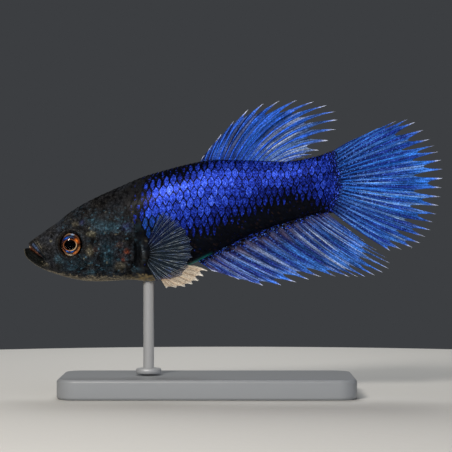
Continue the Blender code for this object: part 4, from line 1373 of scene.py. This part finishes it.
PECTORAL_FIN = {
    "rays": 11,
    "base": ((-12.8, 4.05, 22.9), (-12.4, 3.95, 21.9), (-12.45, 3.8, 20.9), (-12.9, 3.5, 19.9)),
    "tips": (
        (-10.45, 4.9, 27.50), (-8.10, 5.3, 26.10), (-6.35, 5.7, 23.40), (-6.10, 5.8, 20.80),
        (-7.70, 5.4, 18.00), (-11.50, 4.4, 17.20),
    ),
    "bend": (0.03, 0.02, 0.0, -0.02, -0.03),
    "web": (0.94, 0.94),
    "notch": 0.5,
    "jag": 0.01,
    "wave": 0.2,
    "fold": 0.3,
}


def pectoral_tint(fin, place, t, out, sheet):
    """Smoky web, nearly black, with a blue cast above and outside."""
    cast = np.maximum(faded(fan_share(fin, place), 0.1, 0.45), 0.5 * eased(t, 0.70, 0.95))
    tint = np.ones((*t.shape, 3)) * linear("#1b242d")
    return blend_to(tint, ("#131c42", 0.8 * cast), ("#0d0f11", 0.75 * faded(t, 0.05, 0.20)))


def pectoral_masks(fin, place, t, out):
    """How solid the fin is, how far apart each ray's pair of lines lies, and how far each of those splits."""
    cover = 0.70 + 0.30 * faded(t, 0.08, 0.30) - 0.18 * faded(fan_share(fin, place), 0.1, 0.4)
    cover = np.clip(cover * (1 - 0.45 * eased(t, 0.82, 1.0)), 0, 1)
    return {"cover": cover, "fork": 0.05 + 0.17 * eased(t, 0.1, 0.6), "split": 0.09 * eased(t, 0.3, 0.8)}


def clear_fin():
    """Smoky clear web in wet skin. Fine pale lines 0.04 mm wide are the halves of its forked rays, with
    painted glints of light along them."""
    finish, node, shader = wet_finish("clear fin web", 0.45, 1.4, 0.05, 0.02, 0.2)
    masks = ("cover", "fork", "split")
    cover, fork, part = (node("Attribute", attribute_name=key, out="Fac") for key in masks)
    ray = node("UVMap", uv_map="ray")
    uneven = node("TexNoise", node("Mapping", ray, Scale=(2.0, 0.55, 1.0)), 1.0)
    off = node("Math MULTIPLY_ADD", uneven, 0.18, node("SeparateXYZ", ray))
    off = node("Math PINGPONG", off, 0.5)
    for shift in (fork, part):
        off = node("Math ABSOLUTE", node("Math SUBTRACT", off, shift))
    line = node("MapRange", off, 0.030, 0.008)
    # painted glints: the lines turn paler and bluish in patches
    shine = node("TexNoise", node("Mapping", ray, Scale=(3.5, 0.9, 1.0)), 1.0).node.outputs
    hue = node("MapRange", node("SeparateXYZ", shine["Color"], out=1), 0.50, 0.62)
    bright = node("Mix RGBA", hue, rgba("#b4bcc0"), rgba("#7f98dc"))
    pale = node("Mix RGBA", node("MapRange", shine["Fac"], 0.44, 0.68), rgba("#596874"), bright)
    tint = node("Attribute", attribute_name="tint")
    feed(shader["Base Color"], node("Mix RGBA", line, tint, pale))
    feed(shader["Alpha"], cover)
    bump_from(node, shader, line, 0.02)
    return finish


clear_finish = clear_fin()
for side, word in SIDES:
    pectoral = weave_fin(
        f"pectoral_web_{word}", PECTORAL_FIN, side, clear_finish, "fin_clear", pectoral_tint, pectoral_masks
    )
    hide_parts(f"pectoral_fin_{word}")

# ------------------------------
# Pelvic fins: a short pair below the chest, cream and peach, of soft opaque rays that end in white points.
# ------------------------------

PELVIC_FIN = {
    "rays": 7,
    "base": ((-11.3, 0.9, 17.9), (-10.9, 1.0, 18.2), (-10.4, 1.0, 18.6)),
    "tips": ((-10.1, 1.5, 16.05), (-7.3, 1.8, 16.25), (-5.3, 1.9, 17.15), (-3.9, 1.8, 18.60)),
    "bend": (0.0, 0.03, 0.14),
    "web": (0.86, 0.86),
    "notch": 0.5,
    "jag": 0.02,
    "wave": 0.1,
    "fold": 0.5,
}


def pelvic_tint(fin, place, t, out, sheet):
    """Peach at the root, cream further out and white at the points, with tan between the rays."""
    off = off_ray(place)
    tint = np.ones((*t.shape, 3)) * linear("#d9a273")
    tint = blend_to(tint, ("#f7e3c8", eased(t, 0.06, 0.5)), ("#b89068", 0.5 * hump(off - 0.5, 0.14)))
    tint *= (1 + 0.22 * fibre(place, out, 0.2, 1.5, 61))[..., None]
    return blend_to(tint, ("#f6f0e2", eased(t, 0.80, 0.97)))


pale_finish = fin_skin("cream fin web", 0.4)
for side, word in SIDES:
    pelvic = weave_fin(f"pelvic_web_{word}", PELVIC_FIN, side, pale_finish, "fin_pale", pelvic_tint)
    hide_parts(f"pelvic_fin_{word}")

# ------------------------------
# Stage: a pale matt floor under the stand, a plain dim backdrop of air, soft lights and the camera.
# ------------------------------

FLOOR_RADIUS = 120.0
BACKDROP = "#3c3e41"
# Soft lights: place (x, y, z) and the point they face in mm, size in mm, power in watts, colour.
LIGHTS = {
    "key": ((-90, -210, 170), (0, 0, 28), 60, 0.54, "#fff9f2"),
    "fill": ((120, -230, 40), (0, 0, 28), 150, 0.20, "#f0f5ff"),
    "rim": ((-10, 120, 170), (0, 0, 30), 120, 0.24, "#ffffff"),
    "low": ((-40, -150, 12), (0, 0, 26), 90, 0.04, "#ffffff"),
}
SHINING = ("key",)  # only this shows as highlights
CAMERA_PLACE = (-1.2, -300.0, 25.35)
CAMERA_WIDTH = 67.8  # of the view at the fish's midline


def matt_floor():
    """Painted board: a flat warm white with a roller's faint orange peel, 2 mm across."""
    finish, node, shader = new_finish("painted board", {"Base Color": rgba("#c9c8c4"), "Roughness": 0.8})
    bump_from(node, shader, node("TexNoise", node("TexCoord", out="Object"), 1 / (2 * MM)), 0.05)
    return finish


def aim(made, place, target):
    """Puts a light or camera here and turns its -Z towards the target."""
    made.location = Vector(place) * MM
    made.rotation_euler = (Vector(target) - Vector(place)).to_track_quat("-Z", "Y").to_euler()
    bpy.context.scene.collection.objects.link(made)


floor_angle = np.linspace(0, 2 * np.pi, 96, endpoint=False)
floor_points = np.stack([np.cos(floor_angle), np.sin(floor_angle), 0 * floor_angle], axis=1)
floor_points *= FLOOR_RADIUS * MM
floor_mesh = bpy.data.meshes.new("floor")
floor_mesh.from_pydata(floor_points.tolist(), [], [list(range(len(floor_points)))])
floor_mesh.materials.append(matt_floor())
floor = bpy.data.objects.new("floor", floor_mesh)
bpy.context.scene.collection.objects.link(floor)

world = bpy.data.worlds.new("air")
world.use_nodes = True
world.node_tree.nodes["Background"].inputs["Color"].default_value = rgba(BACKDROP)
bpy.context.scene.world = world
bpy.context.scene.view_settings.view_transform = "Standard"
for light_name, (place, target, size, power, colour) in LIGHTS.items():
    light = bpy.data.lights.new(light_name, "AREA")
    light.shape, light.size = "DISK", size * MM
    light.energy, light.color = power, linear(colour)
    lamp = bpy.data.objects.new(light_name, light)
    lamp.visible_glossy = light_name in SHINING
    aim(lamp, place, target)
camera = bpy.data.cameras.new("camera")
camera.sensor_width = 36.0
camera.lens = camera.sensor_width * -CAMERA_PLACE[1] / CAMERA_WIDTH
camera.clip_start, camera.clip_end = 0.01, 10.0
camera_object = bpy.data.objects.new("camera", camera)
aim(camera_object, CAMERA_PLACE, (CAMERA_PLACE[0], 0.0, CAMERA_PLACE[2]))
bpy.context.scene.camera = camera_object
